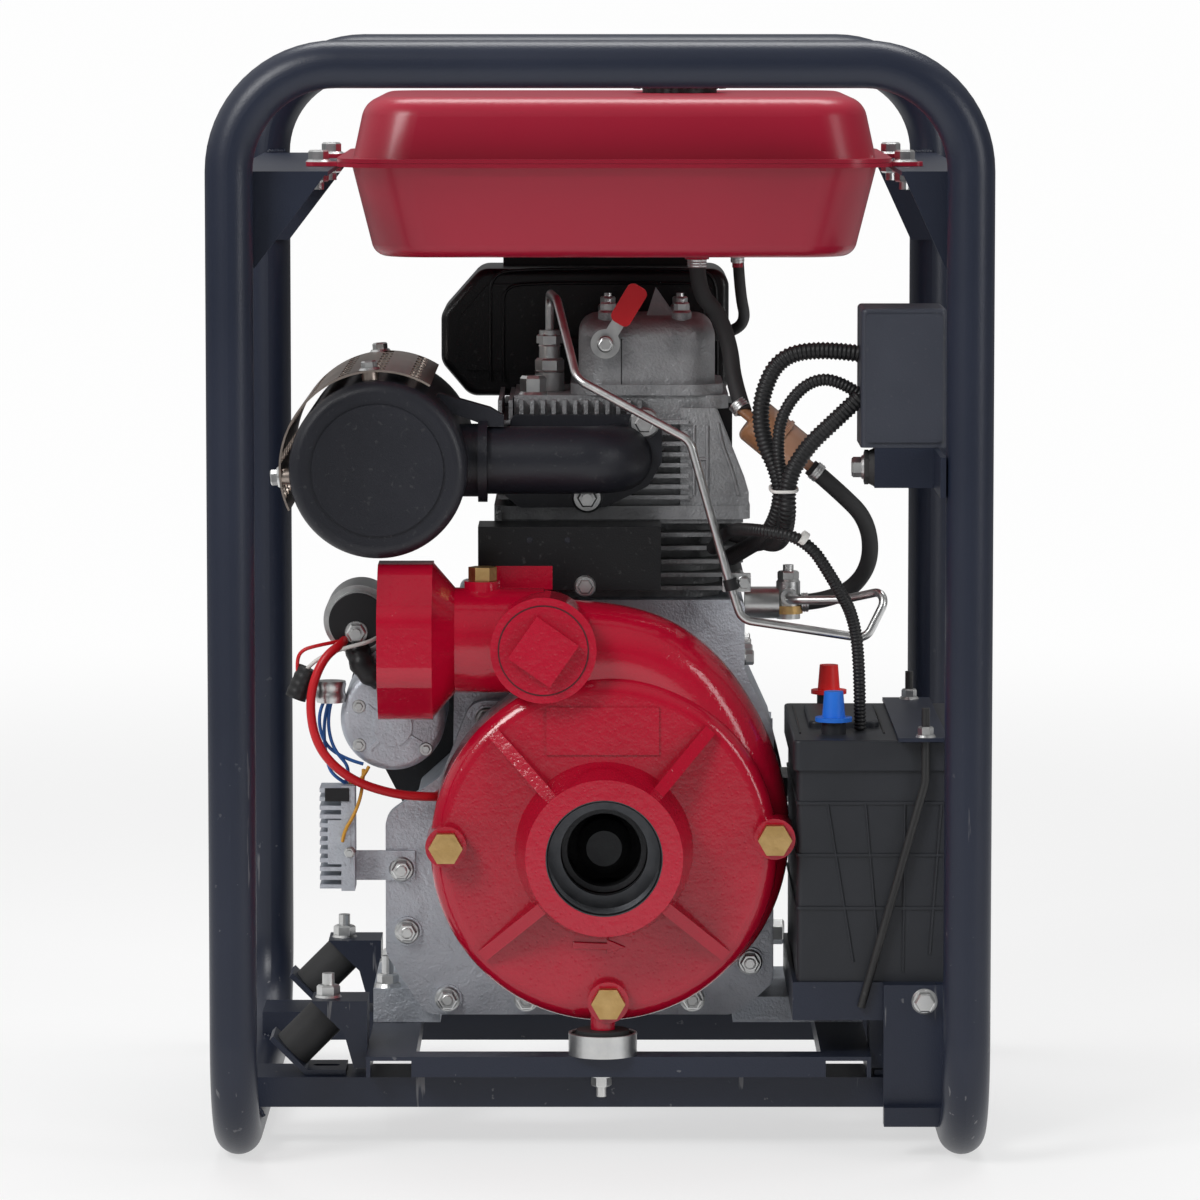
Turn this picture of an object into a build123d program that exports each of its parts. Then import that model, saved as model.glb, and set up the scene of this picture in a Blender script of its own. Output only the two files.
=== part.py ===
# Engine-driven water pump on a tubular roll frame.
# A single-cylinder diesel engine drives a cast volute pump on its front face. The engine
# hangs on inclined rubber mounts in the frame, with the fuel tank above it, the silencer on
# the left and the starting battery on the right.
# Frame of the model: +X right, +Y from the pump towards the engine, +Z up. The origin is on
# the ground under the middle of the frame. All lengths are in millimetres.
import os
from math import cos, radians, sin

from build123d import *

os.makedirs("parts", exist_ok=True)

# Clearance of pieces that seat on each other
seat = 0.2

# Roll frame
frame_width = 560
frame_depth = 584
frame_height = 810
tube_d = 34
hoop_bend = 76
foot_bend = 76
hoop_tail = 16

# Cross rails, mount rails and pump support bar
rail_drop = 4
rail_width = 60
rail_height = 22
rail_wall = 3
cross_rail_y = 150
mount_rail_width = 36
mount_rail_height = 15
mount_rail_gap = 4.5
mount_rail_front = -206
mount_rail_back = 186
left_rail_x = -152.5
right_rail_x = 179.5
support_bar_depth = 24

# Inclined rubber mounts
mount_plate = 4
mount_depth = 44
mount_rubber_radius = 15
bracket_width = 41
left_bracket_top = 107
right_bracket_top = 95

# Pump casing: a disc with the scroll around it, the suction neck in front and the outlet left
pump_x = 3
pump_z = 221
case_front = -190
case_back = -110
case_radius = 127
case_edge = 13
case_wall = 10
neck_front = -235
neck_radius = 57
neck_flare = 65
suction_radius = 42.4
suction_length = 34
chamber_radius = 100
scroll_width = 136
scroll_bottom = 124
scroll_top = 178
scroll_start_radius = 17
scroll_wall = 7
outlet_radius = 38.5
outlet_rise = 150
outlet_y = -149
collar_radius = 57
collar_corner = 22
collar_left = -162
collar_length = 40
collar_taper = 16
discharge_radius = 42.4
discharge_length = 34
priming_x = -41
priming_front = -207
priming_radius = 38.5
priming_plug_radius = 32
priming_plug_depth = 10
priming_head = 37
priming_head_turn = -35
drain_boss_radius = 15
drain_hex = 21.5
top_plug_x = -86
top_plug_hex = 18
top_plug_boss = 13.5
pump_foot_radius = 9

# Impeller and shaft
impeller_radius = 92
impeller_gap = 6
shroud = 4
vane_count = 6
vane_thickness = 5
eye_radius = 31
eye_wall = 4
eye_clearance = 1.5
shaft_radius = 12.5
shaft_clearance = 0.3

# Crankcase
crankcase_front = -62
crankcase_back = 112
crankcase_base = 80
crankcase_top = 392
cover_thickness = 16

# Cylinder
barrel_x = 14
barrel_width = 186
barrel_front = -58
barrel_back = 104
barrel_top = 452
fin_thickness = 3
fin_pitch = 10
fin_reach = 17
head_top = 544
rocker_x = 35
rocker_width = 102
rocker_depth = 123
rocker_top = 601

# Silencer
silencer_x = -162
silencer_z = 497
silencer_radius = 65
silencer_front = -170
silencer_back = 110
elbow_radius = 25
elbow_y = -94

# Fuel tank
tank_x = 10.5
tank_y = -8
tank_width = 405
tank_depth = 352
tank_flange_z = 720
tank_flange = 3
tank_bottom_z = 651
tank_crown_z = 768

# Battery
battery_left = 143.5
battery_width = 124
battery_front = -200
battery_length = 238
battery_base = 101.2
battery_height = 202
lid_height = 22
tray_wall = 3


def facing(y, x=0, z=0):
    """The upright plane at depth y that looks to the front, with its origin at x and z."""
    return Plane(origin=(x, y, z), x_dir=(1, 0, 0), z_dir=(0, -1, 0))


def write(part, name):
    """Gives the finished piece its name and writes it."""
    part.label = name
    export_step(part, f"parts/{name}.step")


def round_bar(x, z, radius, front, back, mode=Mode.ADD):
    """Round bar from front to back."""
    with BuildSketch(facing(back, x, z)) as profile:
        Circle(radius)
    extrude(profile.sketch, amount=back - front, mode=mode)


def post(x, y, radius, bottom, top, mode=Mode.ADD):
    """Round bar that stands upright."""
    with BuildSketch(Plane(origin=(x, y, bottom))) as profile:
        Circle(radius)
    extrude(profile.sketch, amount=top - bottom, mode=mode)


def side_bar(y, z, radius, left, right, mode=Mode.ADD):
    """Round bar from left to right."""
    with BuildSketch(Plane(origin=(left, y, z), x_dir=(0, 1, 0), z_dir=(1, 0, 0))) as profile:
        Circle(radius)
    extrude(profile.sketch, amount=right - left, mode=mode)


def block(x, y, z, mode=Mode.ADD):
    """Block between two limits along each axis."""
    with Locations([(sum(x) / 2, sum(y) / 2, sum(z) / 2)]):
        Box(x[1] - x[0], y[1] - y[0], z[1] - z[0], mode=mode)


def outline_bar(points, front, back, corner=0, mode=Mode.ADD):
    """Bar from front to back whose front view is a closed outline with rounded corners."""
    with BuildSketch(facing(back)) as profile:
        Polygon(*points, align=None)
        if corner:
            fillet(profile.vertices(), corner)
    extrude(profile.sketch, amount=back - front, mode=mode)


def rounded_box(x, y, z, corner, edge=0, mode=Mode.ADD):
    """Upright box with rounded corners and a softer top edge."""
    with BuildSketch(Plane(origin=(sum(x) / 2, sum(y) / 2, z[0]))) as profile:
        RectangleRounded(x[1] - x[0], y[1] - y[0], corner)
    with BuildPart() as box:
        extrude(profile.sketch, amount=z[1] - z[0])
        if edge:
            fillet(box.faces().sort_by(Axis.Z)[-1].edges(), edge)
    add(box.part, mode=mode)


def tube_along(points, radius, bends):
    """Round tube along straight runs with tangent arcs."""
    with BuildPart() as tube:
        with BuildLine() as path:
            FilletPolyline(*points, radius=bends)
        with BuildSketch(Plane(origin=path.line @ 0, z_dir=path.line % 0)):
            Circle(radius)
        sweep(path=path.line)
    return tube.part


# Front and rear hoops: one bent tube each, whose feet turn towards the middle of the frame
hoop_x = frame_width / 2 - tube_d / 2
hoop_y = frame_depth / 2 - tube_d / 2
hoop_top = frame_height - tube_d / 2
foot_end = hoop_y - foot_bend - hoop_tail


def hoop_tube(side, radius):
    """Bent tube of a hoop, side -1 at the front and 1 at the rear."""
    points = [
        (-hoop_x, side * foot_end, tube_d / 2),
        (-hoop_x, side * hoop_y, tube_d / 2),
        (-hoop_x, side * hoop_y, hoop_top),
        (hoop_x, side * hoop_y, hoop_top),
        (hoop_x, side * hoop_y, tube_d / 2),
        (hoop_x, side * foot_end, tube_d / 2),
    ]
    return tube_along(points, radius, [foot_bend, hoop_bend, hoop_bend, foot_bend])


for side, name in ((-1, "front_hoop"), (1, "rear_hoop")):
    with BuildPart() as hoop:
        add(hoop_tube(side, tube_d / 2))
    write(hoop.part, name)

# Skids: the straight tubes on the ground between the hoops' feet
with BuildPart() as skids:
    for side in (-1, 1):
        round_bar(side * hoop_x, tube_d / 2, tube_d / 2, -foot_end, foot_end)
write(skids.part, "skids")

# Cross rails: inverted channels between the skids, cut round at the ends to fit the tubes
rail_z = tube_d - rail_drop
rail_top = rail_z + rail_height
with BuildPart() as cross_rails:
    for side in (-1, 1):
        with BuildSketch(Plane.YZ.offset(-hoop_x)):
            with Locations((side * cross_rail_y, rail_z + rail_height / 2)):
                Rectangle(rail_width, rail_height)
            with Locations((side * cross_rail_y, rail_z + (rail_height - rail_wall) / 2)):
                Rectangle(rail_width - 2 * rail_wall, rail_height - rail_wall, mode=Mode.SUBTRACT)
        extrude(amount=2 * hoop_x)
    for side in (-1, 1):
        round_bar(side * hoop_x, tube_d / 2, tube_d / 2 + seat, -hoop_y, hoop_y, mode=Mode.SUBTRACT)
write(cross_rails.part, "cross_rails")

# Mount frame: two inverted channels under the engine, carried by the rubber mounts, and the
# flat bar between them that carries the pump
mount_rail_z = rail_top + mount_rail_gap
mount_rail_top = mount_rail_z + mount_rail_height
bar_left = left_rail_x + mount_rail_width / 2
bar_right = right_rail_x - mount_rail_width / 2
bar_y = mount_rail_front + support_bar_depth / 2
bar_top = mount_rail_top
with BuildPart() as mount_frame:
    for rail_x in (left_rail_x, right_rail_x):
        with BuildSketch(facing(mount_rail_back)):
            with Locations((rail_x, mount_rail_z + mount_rail_height / 2)):
                Rectangle(mount_rail_width, mount_rail_height)
            with Locations((rail_x, mount_rail_z + (mount_rail_height - rail_wall) / 2)):
                Rectangle(
                    mount_rail_width - 2 * rail_wall,
                    mount_rail_height - rail_wall,
                    mode=Mode.SUBTRACT,
                )
        extrude(amount=mount_rail_back - mount_rail_front)
    block(
        (bar_left, bar_right),
        (mount_rail_front, mount_rail_front + support_bar_depth),
        (mount_rail_z, bar_top),
    )
write(mount_frame.part, "mount_frame")

# Inclined rubber mounts: a folded foot on the cross rail, a rubber cylinder at 45 degrees and
# a folded bracket beside the mount rail. The u axis points outwards from the mount rail.
diagonal = 2**0.5
foot_pad = 30
foot_flap = 26
foot_slot = (20, 8)
web_foot = 6


def mount_places():
    """Side, inner face, bracket top and depth of the four rubber mounts."""
    left = left_rail_x - mount_rail_width / 2 - seat
    right = right_rail_x + mount_rail_width / 2 + seat
    for y in (-cross_rail_y, cross_rail_y):
        yield -1, left, left_bracket_top, y
        yield 1, right, right_bracket_top, y


def bracket_outline(top):
    """Front view of a mount bracket: rail plate, top plate and the flap at 45 degrees."""
    p = mount_plate
    f = flap_drop
    return [
        (0, mount_rail_z + 1),
        (0, top),
        (bracket_width, top),
        (bracket_width - f, top - f),
        (bracket_width - f - p / diagonal, top - f + p / diagonal),
        (bracket_width - p * (1 + diagonal), top - p),
        (p, top - p),
        (p, mount_rail_z + 1),
    ]


def bracket_web(top):
    """Front view of the webs that close a mount bracket at its front and rear."""
    return [
        (0, mount_rail_z + 1),
        (0, top),
        (bracket_width, top),
        (bracket_width - flap_drop, top - flap_drop),
        (mount_plate + web_foot, mount_rail_z + 1),
    ]


def foot_outline(bend):
    """Front view of a mount foot: the pad on the cross rail and the flap at 45 degrees."""
    p = mount_plate
    base = rail_top + seat
    return [
        (bend - foot_pad, base),
        (bend, base),
        (bend + foot_flap, base + foot_flap),
        (bend + foot_flap - p / diagonal, base + foot_flap + p / diagonal),
        (bend - p * (diagonal - 1), base + p),
        (bend - foot_pad, base + p),
    ]


flap_drop = 24
foot_face_z = rail_top + seat + foot_flap / 2 + mount_plate / diagonal
foot_face_u = foot_flap / 2 - mount_plate / diagonal


def rubber_drop(top):
    """How far the rubber cylinder comes down from the bracket's flap to the foot's."""
    return top - flap_drop / 2 - foot_face_z


with BuildPart() as mount_plates:
    for side, inner, top, y in mount_places():
        bend = bracket_width - flap_drop / 2 + rubber_drop(top) - foot_face_u
        for shape in (bracket_outline(top), foot_outline(bend)):
            outline = [(inner + side * u, z) for u, z in shape]
            outline_bar(outline, y - mount_depth / 2, y + mount_depth / 2)
        web = [(inner + side * u, z) for u, z in bracket_web(top)]
        outline_bar(web, y - mount_depth / 2, y - mount_depth / 2 + mount_plate)
        outline_bar(web, y + mount_depth / 2 - mount_plate, y + mount_depth / 2)
        with BuildSketch(Plane(origin=(inner + side * (bend - foot_pad / 2), y, rail_top))) as slot:
            SlotOverall(foot_slot[0], foot_slot[1])
        extrude(slot.sketch, amount=2 * mount_plate, mode=Mode.SUBTRACT)
write(mount_plates.part, "engine_mount_plates")

with BuildPart() as mount_rubbers:
    for side, inner, top, y in mount_places():
        start_u = bracket_width - flap_drop / 2 + seat
        start = (inner + side * start_u, y, top - flap_drop / 2 - seat)
        with BuildSketch(Plane(origin=start, x_dir=(0, 1, 0), z_dir=(side, 0, -1))):
            Circle(mount_rubber_radius)
        extrude(amount=rubber_drop(top) * diagonal - 2 * seat * diagonal)
write(mount_rubbers.part, "engine_mount_rubbers")

# Pump mount: a cup on the support bar with a rubber pad in it and a stud below
cup_x = pump_x - 1
cup_radius = 25
cup_height = 16
cup_wall = 2
cup_stud = 4
rubber_top = 90
with BuildPart() as pump_mount_cup:
    post(cup_x, bar_y, cup_radius, bar_top + seat, bar_top + seat + cup_height)
    post(
        cup_x,
        bar_y,
        cup_radius - cup_wall,
        bar_top + seat + cup_wall,
        bar_top + seat + cup_height,
        mode=Mode.SUBTRACT,
    )
write(pump_mount_cup.part, "pump_mount_cup")
with BuildPart() as pump_mount_rubber:
    post(cup_x, bar_y, cup_radius - cup_wall - seat, bar_top + 2 * seat + cup_wall, rubber_top - 4)
    post(cup_x, bar_y, cup_radius - 6, rubber_top - 4, rubber_top)
write(pump_mount_rubber.part, "pump_mount_rubber")

# Pump casing. The scroll's outer line follows two elliptic quarters, low on the right and
# higher above, and its round section grows from the foot of the casing to the outlet.
outlet_z = pump_z + outlet_rise
scroll_shift = 7
scroll_turns = [-80, -55, -30, 0, 22.5, 45, 67.5, 90]


def scroll_point(turn):
    """Point of the scroll's outer line and its outward and forward directions, seen from the front."""
    t = radians(turn)
    centre = 0 if turn < 0 else -scroll_shift
    wide = scroll_width if turn < 0 else scroll_width + scroll_shift
    high = scroll_bottom if turn < 0 else scroll_top
    point = Vector(centre + wide * cos(t), high * sin(t))
    forward = Vector(-wide * sin(t), high * cos(t)).normalized()
    outward = Vector(forward.Y, -forward.X)
    return point, outward, forward


def scroll_section(turn, shrink):
    """Plane and radius of the scroll's round section at a turn about the pump's axis."""
    point, outward, forward = scroll_point(turn)
    share = (turn - scroll_turns[0]) / (scroll_turns[-1] - scroll_turns[0])
    radius = scroll_start_radius + share * (outlet_radius - scroll_start_radius)
    middle = point - outward * radius
    origin = (pump_x + middle.X, outlet_y, pump_z + middle.Y)
    return Plane(origin=origin, x_dir=(0, 1, 0), z_dir=(forward.X, 0, forward.Y)), radius - shrink


def scroll_tube(shrink):
    """The growing round tube of the scroll, up to where the outlet neck begins."""
    neck = Plane(origin=(priming_x, outlet_y, outlet_z), x_dir=(0, 1, 0), z_dir=(-1, 0, 0))
    with BuildPart() as tube:
        for turn in scroll_turns:
            plane, radius = scroll_section(turn, shrink)
            with BuildSketch(plane):
                Circle(radius)
        with BuildSketch(neck):
            Circle(outlet_radius - shrink)
        loft()
    return tube.part


eye_hole = eye_radius + eye_clearance
chamber_front = case_front + case_wall
rib_turns = [133, 49, 221, 319]
rib_reach = 118
rib_width = 9
drain_places = [(-115, 4), (124, 10), (3, -110)]
drain_front = -204
with BuildPart() as pump_casing:
    round_bar(pump_x, pump_z, case_radius, case_front, case_back)
    fillet(pump_casing.faces().sort_by(Axis.Y)[0].edges(), case_edge)
    add(scroll_tube(0))
    # Suction neck, wider at its root
    with BuildSketch(facing(case_front, pump_x, pump_z)):
        Circle(neck_flare)
    with BuildSketch(facing(neck_front, pump_x, pump_z)):
        Circle(neck_radius)
    loft()
    # Four ribs that run down from the neck to the edge of the disc
    for turn in rib_turns:
        across = (-sin(radians(turn)), 0, cos(radians(turn)))
        root = Plane(origin=(pump_x, 0, pump_z), x_dir=(0, -1, 0), z_dir=across)
        with BuildSketch(root.offset(-rib_width / 2)):
            Polygon(
                (-case_front - 3, neck_flare - 14),
                (-case_front - 3, rib_reach),
                (-case_front + 5, rib_reach),
                (-neck_front - 16, neck_flare - 14),
                align=None,
            )
        extrude(amount=rib_width)
    # Raised name panel, left bare
    block((pump_x - 42, pump_x + 40), (case_front - 1.5, case_front + 1), (pump_z + 70, pump_z + 105))
    # Bosses of the drain plugs, priming boss and foot
    for drain_x, drain_z in drain_places:
        round_bar(pump_x + drain_x, pump_z + drain_z, drain_boss_radius, drain_front, outlet_y)
    round_bar(priming_x, outlet_z - 2, priming_radius, priming_front, outlet_y)
    post(cup_x, bar_y, pump_foot_radius, rubber_top + seat, pump_z - case_radius + 25)
    post(top_plug_x, outlet_y, top_plug_boss, outlet_z, outlet_z + outlet_radius + 5)
    # Outlet neck and collar
    side_bar(outlet_y, outlet_z, outlet_radius, collar_left, priming_x)
    collar_start = Plane(origin=(collar_left, outlet_y, outlet_z), x_dir=(0, 1, 0), z_dir=(1, 0, 0))
    with BuildSketch(collar_start) as collar:
        RegularPolygon(collar_radius, 8, major_radius=False, rotation=22.5)
        fillet(collar.vertices(), collar_corner)
    extrude(amount=collar_length)
    taper_start = Plane(
        origin=(collar_left + collar_length, outlet_y, outlet_z), x_dir=(0, 1, 0), z_dir=(1, 0, 0)
    )
    with BuildSketch(taper_start):
        Circle(collar_radius)
    with BuildSketch(taper_start.offset(collar_taper)):
        Circle(outlet_radius)
    loft()
    # Inside: impeller chamber, scroll, suction and outlet passages, priming mouth
    round_bar(pump_x, pump_z, chamber_radius, chamber_front, case_back, mode=Mode.SUBTRACT)
    add(scroll_tube(scroll_wall), mode=Mode.SUBTRACT)
    round_bar(pump_x, pump_z, suction_radius, neck_front, neck_front + suction_length, mode=Mode.SUBTRACT)
    round_bar(pump_x, pump_z, eye_hole, neck_front, chamber_front, mode=Mode.SUBTRACT)
    side_bar(outlet_y, outlet_z, outlet_radius - scroll_wall, collar_left, priming_x, mode=Mode.SUBTRACT)
    side_bar(
        outlet_y,
        outlet_z,
        discharge_radius,
        collar_left,
        collar_left + discharge_length,
        mode=Mode.SUBTRACT,
    )
    round_bar(
        priming_x,
        outlet_z - 2,
        priming_plug_radius + seat,
        priming_front,
        priming_front + priming_plug_depth,
        mode=Mode.SUBTRACT,
    )
write(pump_casing.part, "pump_casing")

with BuildPart() as priming_plug:
    round_bar(
        priming_x,
        outlet_z - 2,
        priming_plug_radius,
        priming_front - 1,
        priming_front + priming_plug_depth - seat,
    )
    with BuildSketch(facing(priming_front - 1, priming_x, outlet_z - 2)):
        Rectangle(priming_head, priming_head, rotation=priming_head_turn)
    extrude(amount=10)
write(priming_plug.part, "priming_plug")

# Brass plugs: three in front and a smaller one on top of the outlet neck
with BuildPart() as brass_plugs:
    for drain_x, drain_z in drain_places:
        with BuildSketch(facing(drain_front - seat, pump_x + drain_x, pump_z + drain_z)):
            RegularPolygon(drain_hex / 2, 6, major_radius=False)
        extrude(amount=9)
    with BuildSketch(Plane(origin=(top_plug_x, outlet_y, outlet_z + outlet_radius + 5 + seat))):
        RegularPolygon(top_plug_hex / 2, 6, major_radius=False)
    extrude(amount=10)
write(brass_plugs.part, "brass_plugs")

# Impeller: two shrouds with curved vanes between them, the eye ring in front and the hub nut
impeller_front = chamber_front + impeller_gap
plate_front = case_back - 7
impeller_back = plate_front - impeller_gap
vane_root = 34
with BuildPart() as impeller:
    round_bar(pump_x, pump_z, impeller_radius, impeller_back - shroud, impeller_back)
    round_bar(pump_x, pump_z, impeller_radius, impeller_front, impeller_front + shroud)
    round_bar(pump_x, pump_z, eye_radius, case_front + 2, impeller_front)
    round_bar(
        pump_x,
        pump_z,
        eye_radius - eye_wall,
        case_front + 2,
        impeller_front + shroud,
        mode=Mode.SUBTRACT,
    )
    for vane in range(vane_count):
        with BuildSketch(facing(impeller_back - shroud, pump_x, pump_z)):
            with BuildLine():
                turn = 360 / vane_count * vane
                inner = (vane_root * cos(radians(turn)), vane_root * sin(radians(turn)))
                outer_turn = radians(turn - 70)
                rim = impeller_radius - 1
                outer = (rim * cos(outer_turn), rim * sin(outer_turn))
                back = SagittaArc(inner, outer, -14)
                front = SagittaArc(outer, inner, 14 - vane_thickness)
            make_face()
        extrude(amount=impeller_back - shroud - impeller_front - shroud)
    round_bar(pump_x, pump_z, shaft_radius + 6, impeller_front + 8, impeller_back)
    round_bar(pump_x, pump_z, shaft_radius, impeller_front + 4, impeller_back, mode=Mode.SUBTRACT)
write(impeller.part, "impeller")

# Pump shaft with the round-nosed nut in front of the impeller's hub
nose_radius = 20
nose_length = 14
cover_front = crankcase_front - cover_thickness
shaft_back = cover_front + 8
with BuildPart() as pump_shaft:
    round_bar(pump_x, pump_z, shaft_radius, impeller_front + 2, shaft_back)
    with BuildSketch(facing(impeller_front + 8 - seat, pump_x, pump_z)):
        Circle(nose_radius)
    with BuildSketch(facing(impeller_front + 8 - seat - nose_length, pump_x, pump_z)):
        Circle(nose_radius - nose_length / 2)
    loft()
write(pump_shaft.part, "pump_shaft")

# Back plate: closes the impeller chamber and bolts the pump to the engine
with BuildPart() as back_plate:
    round_bar(pump_x, pump_z, chamber_radius - seat, plate_front, case_back + seat)
    round_bar(pump_x, pump_z, case_radius - 8, case_back + seat, case_back + 12)
    round_bar(pump_x, pump_z, 70, case_back + 12, cover_front - seat)
    round_bar(
        pump_x,
        pump_z,
        shaft_radius + shaft_clearance,
        plate_front,
        cover_front,
        mode=Mode.SUBTRACT,
    )
write(back_plate.part, "pump_back_plate")

# Crankcase with its feet on the mount rails, and its front cover
crank_outline = [
    (-132, crankcase_base),
    (104, crankcase_base),
    (130, 104),
    (130, 292),
    (108, 340),
    (108, crankcase_top),
    (-108, crankcase_top),
    (-110, 262),
    (-139, 236),
    (-139, 96),
]
engine_foot_top = 97
with BuildPart() as crankcase:
    outline_bar(crank_outline, crankcase_front + seat, crankcase_back, corner=6)
    block(
        (left_rail_x - mount_rail_width / 2, -120),
        (-50, 100),
        (mount_rail_top + seat, engine_foot_top),
    )
    block(
        (100, right_rail_x + mount_rail_width / 2),
        (-50, 100),
        (mount_rail_top + seat, engine_foot_top - 6),
    )
write(crankcase.part, "crankcase")

cover_outline = [
    (-130, 82),
    (100, 82),
    (129, 106),
    (129, 250),
    (96, 318),
    (-96, 318),
    (-118, 262),
    (-160, 232),
    (-160, 128),
]
cover_bosses = [(-114, 94), (-55, 94), (69, 94), (-144, 145), (112, 122), (112, 240), (84, 304), (-84, 304)]
cover_boss_radius = 11
with BuildPart() as crankcase_cover:
    outline_bar(cover_outline, cover_front, crankcase_front, corner=16)
    for boss_x, boss_z in cover_bosses:
        round_bar(boss_x, boss_z, cover_boss_radius, cover_front - 2, cover_front)
    round_bar(pump_x, pump_z, shaft_radius + shaft_clearance, cover_front, shaft_back + 1, mode=Mode.SUBTRACT)
write(crankcase_cover.part, "crankcase_cover")

# Cylinder: a core with stacked cooling fins
fin_count = int((barrel_top - crankcase_top) / fin_pitch)
barrel_y = (barrel_front + barrel_back) / 2
barrel_depth = barrel_back - barrel_front
with BuildPart() as barrel:
    rounded_box(
        (barrel_x - barrel_width / 2 + fin_reach, barrel_x + barrel_width / 2 - fin_reach),
        (barrel_front + fin_reach, barrel_back - fin_reach),
        (crankcase_top + seat, barrel_top),
        30,
    )
    for fin in range(fin_count):
        bottom = barrel_top - fin * fin_pitch - fin_thickness
        with BuildSketch(Plane(origin=(barrel_x, barrel_y, bottom))):
            RectangleRounded(barrel_width, barrel_depth, 12)
        extrude(amount=fin_thickness)
write(barrel.part, "cylinder_barrel")

# Cylinder head: a finned core between the base flange and the top flange, with the slanted
# tunnel of the push rods on its right
head_front = barrel_front - 2
head_back = barrel_back - 4
head_core_left = -76
head_core_right = 66
head_flange = 10
head_fin = 3
head_fin_pitch = 8
head_fin_reach = 12
head_base_top = barrel_top + seat + head_flange
tunnel_outline = [
    (head_core_right - 6, head_base_top - 1),
    (barrel_x + barrel_width / 2 + 4, head_base_top - 1),
    (barrel_x + barrel_width / 2 + 4, head_base_top + 10),
    (head_core_right + 20, head_top - head_flange + 1),
    (head_core_right - 6, head_top - head_flange + 1),
]
with BuildPart() as head:
    rounded_box(
        (barrel_x - barrel_width / 2, barrel_x + barrel_width / 2 + 5),
        (head_front, head_back),
        (barrel_top + seat, head_base_top),
        12,
    )
    block(
        (head_core_left + head_fin_reach, head_core_right),
        (head_front + head_fin_reach, head_back - head_fin_reach),
        (head_base_top, head_top),
    )
    outline_bar(tunnel_outline, head_front + 4, head_back - 4)
    # Fins that lie flat round the core, and upright ones in front under the rocker cover
    fin_bottom = head_base_top + head_fin_pitch - head_fin
    while fin_bottom < head_top - 2 * head_flange:
        fin_top = fin_bottom + head_fin
        block((head_core_left, head_core_right), (head_front, head_back), (fin_bottom, fin_top))
        fin_bottom += head_fin_pitch
    for fin in range(14):
        fin_left = head_core_left + fin * head_fin_pitch
        block(
            (fin_left, fin_left + head_fin),
            (head_front, head_back),
            (fin_bottom - head_fin_pitch, head_top - head_fin),
        )
    rounded_box(
        (rocker_x - rocker_width / 2 - 8, rocker_x + rocker_width / 2 + 10),
        (head_front + head_fin_reach, head_back),
        (head_top - head_flange, head_top),
        14,
    )
    # Boss of the injector
    post(-38, 4, 16, head_base_top, head_top)
write(head.part, "cylinder_head")

rocker_y = 16
with BuildPart() as rocker_cover:
    rounded_box(
        (rocker_x - rocker_width / 2, rocker_x + rocker_width / 2),
        (rocker_y - rocker_depth / 2, rocker_y + rocker_depth / 2),
        (head_top + seat, rocker_top),
        22,
        edge=14,
    )
    rounded_box(
        (rocker_x - rocker_width / 2 - 6, rocker_x + rocker_width / 2 + 6),
        (rocker_y - rocker_depth / 2 - 6, rocker_y + rocker_depth / 2 + 6),
        (head_top + seat, head_top + 8),
        24,
    )
    # Bosses under the nuts, and the lifting eye
    for nut_x in (6, 61):
        for nut_y in (-31, 63):
            post(nut_x, nut_y, 7.5, rocker_top - 20, rocker_top + 4)
    eye_outline = [
        (34, rocker_top - 4),
        (56, rocker_top - 4),
        (56, rocker_top + 1),
        (42, rocker_top + 21),
    ]
    outline_bar(eye_outline, 8, 12)
    # Boss that carries the decompression lever
    lever_x = 4
    lever_z = 583
    lever_back = rocker_y - rocker_depth / 2 - 10
    lever_hub = 9
    round_bar(lever_x, lever_z, lever_hub, lever_back, rocker_y - rocker_depth / 2 + 20)
write(rocker_cover.part, "rocker_cover")

# Decompression lever: a flat arm on a pin, with a grip at its end
lever_thickness = 3
lever_length = 44
lever_turn = 59
lever_pin = 4
arm = Plane(
    origin=(lever_x, lever_back - seat, lever_z),
    x_dir=(cos(radians(lever_turn)), 0, sin(radians(lever_turn))),
    z_dir=(0, -1, 0),
)
with BuildPart() as lever:
    with BuildSketch(arm):
        Circle(lever_hub + 2)
        with Locations((lever_length / 2, 0)):
            Rectangle(lever_length, 10)
    extrude(amount=lever_thickness)
    with BuildSketch(arm):
        Circle(lever_pin)
    extrude(amount=lever_thickness + 5)
write(lever.part, "decompression_lever")
with BuildPart() as lever_grip:
    with BuildSketch(arm.offset(lever_thickness + seat)):
        with Locations((lever_length - 10, 0)):
            RectangleRounded(32, 16, 5)
    extrude(amount=5)
write(lever_grip.part, "lever_grip")

# Exhaust elbow: cast pipe from the head's front face to the silencer
flange_thickness = 11
elbow_end_x = 14
elbow_z = 499
elbow_left = silencer_x + silencer_radius + 14
port_places = [(33, 525), (-9.5, 475), (elbow_end_x, elbow_z)]
flange_outline = [
    (-66, 531),
    (40, 531),
    (46, 520),
    (46, 496),
    (36, 478),
    (4, 462),
    (-60, 462),
    (-72, 472),
]
with BuildPart() as elbow:
    outline_bar(flange_outline, head_front - seat - flange_thickness, head_front - seat, corner=6)
    add(
        tube_along(
            [
                (elbow_left, elbow_y, elbow_z),
                (elbow_end_x, elbow_y, elbow_z),
                (elbow_end_x, head_front - 2, elbow_z),
            ],
            elbow_radius,
            [elbow_radius + 3],
        )
    )
write(elbow.part, "exhaust_elbow")

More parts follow.
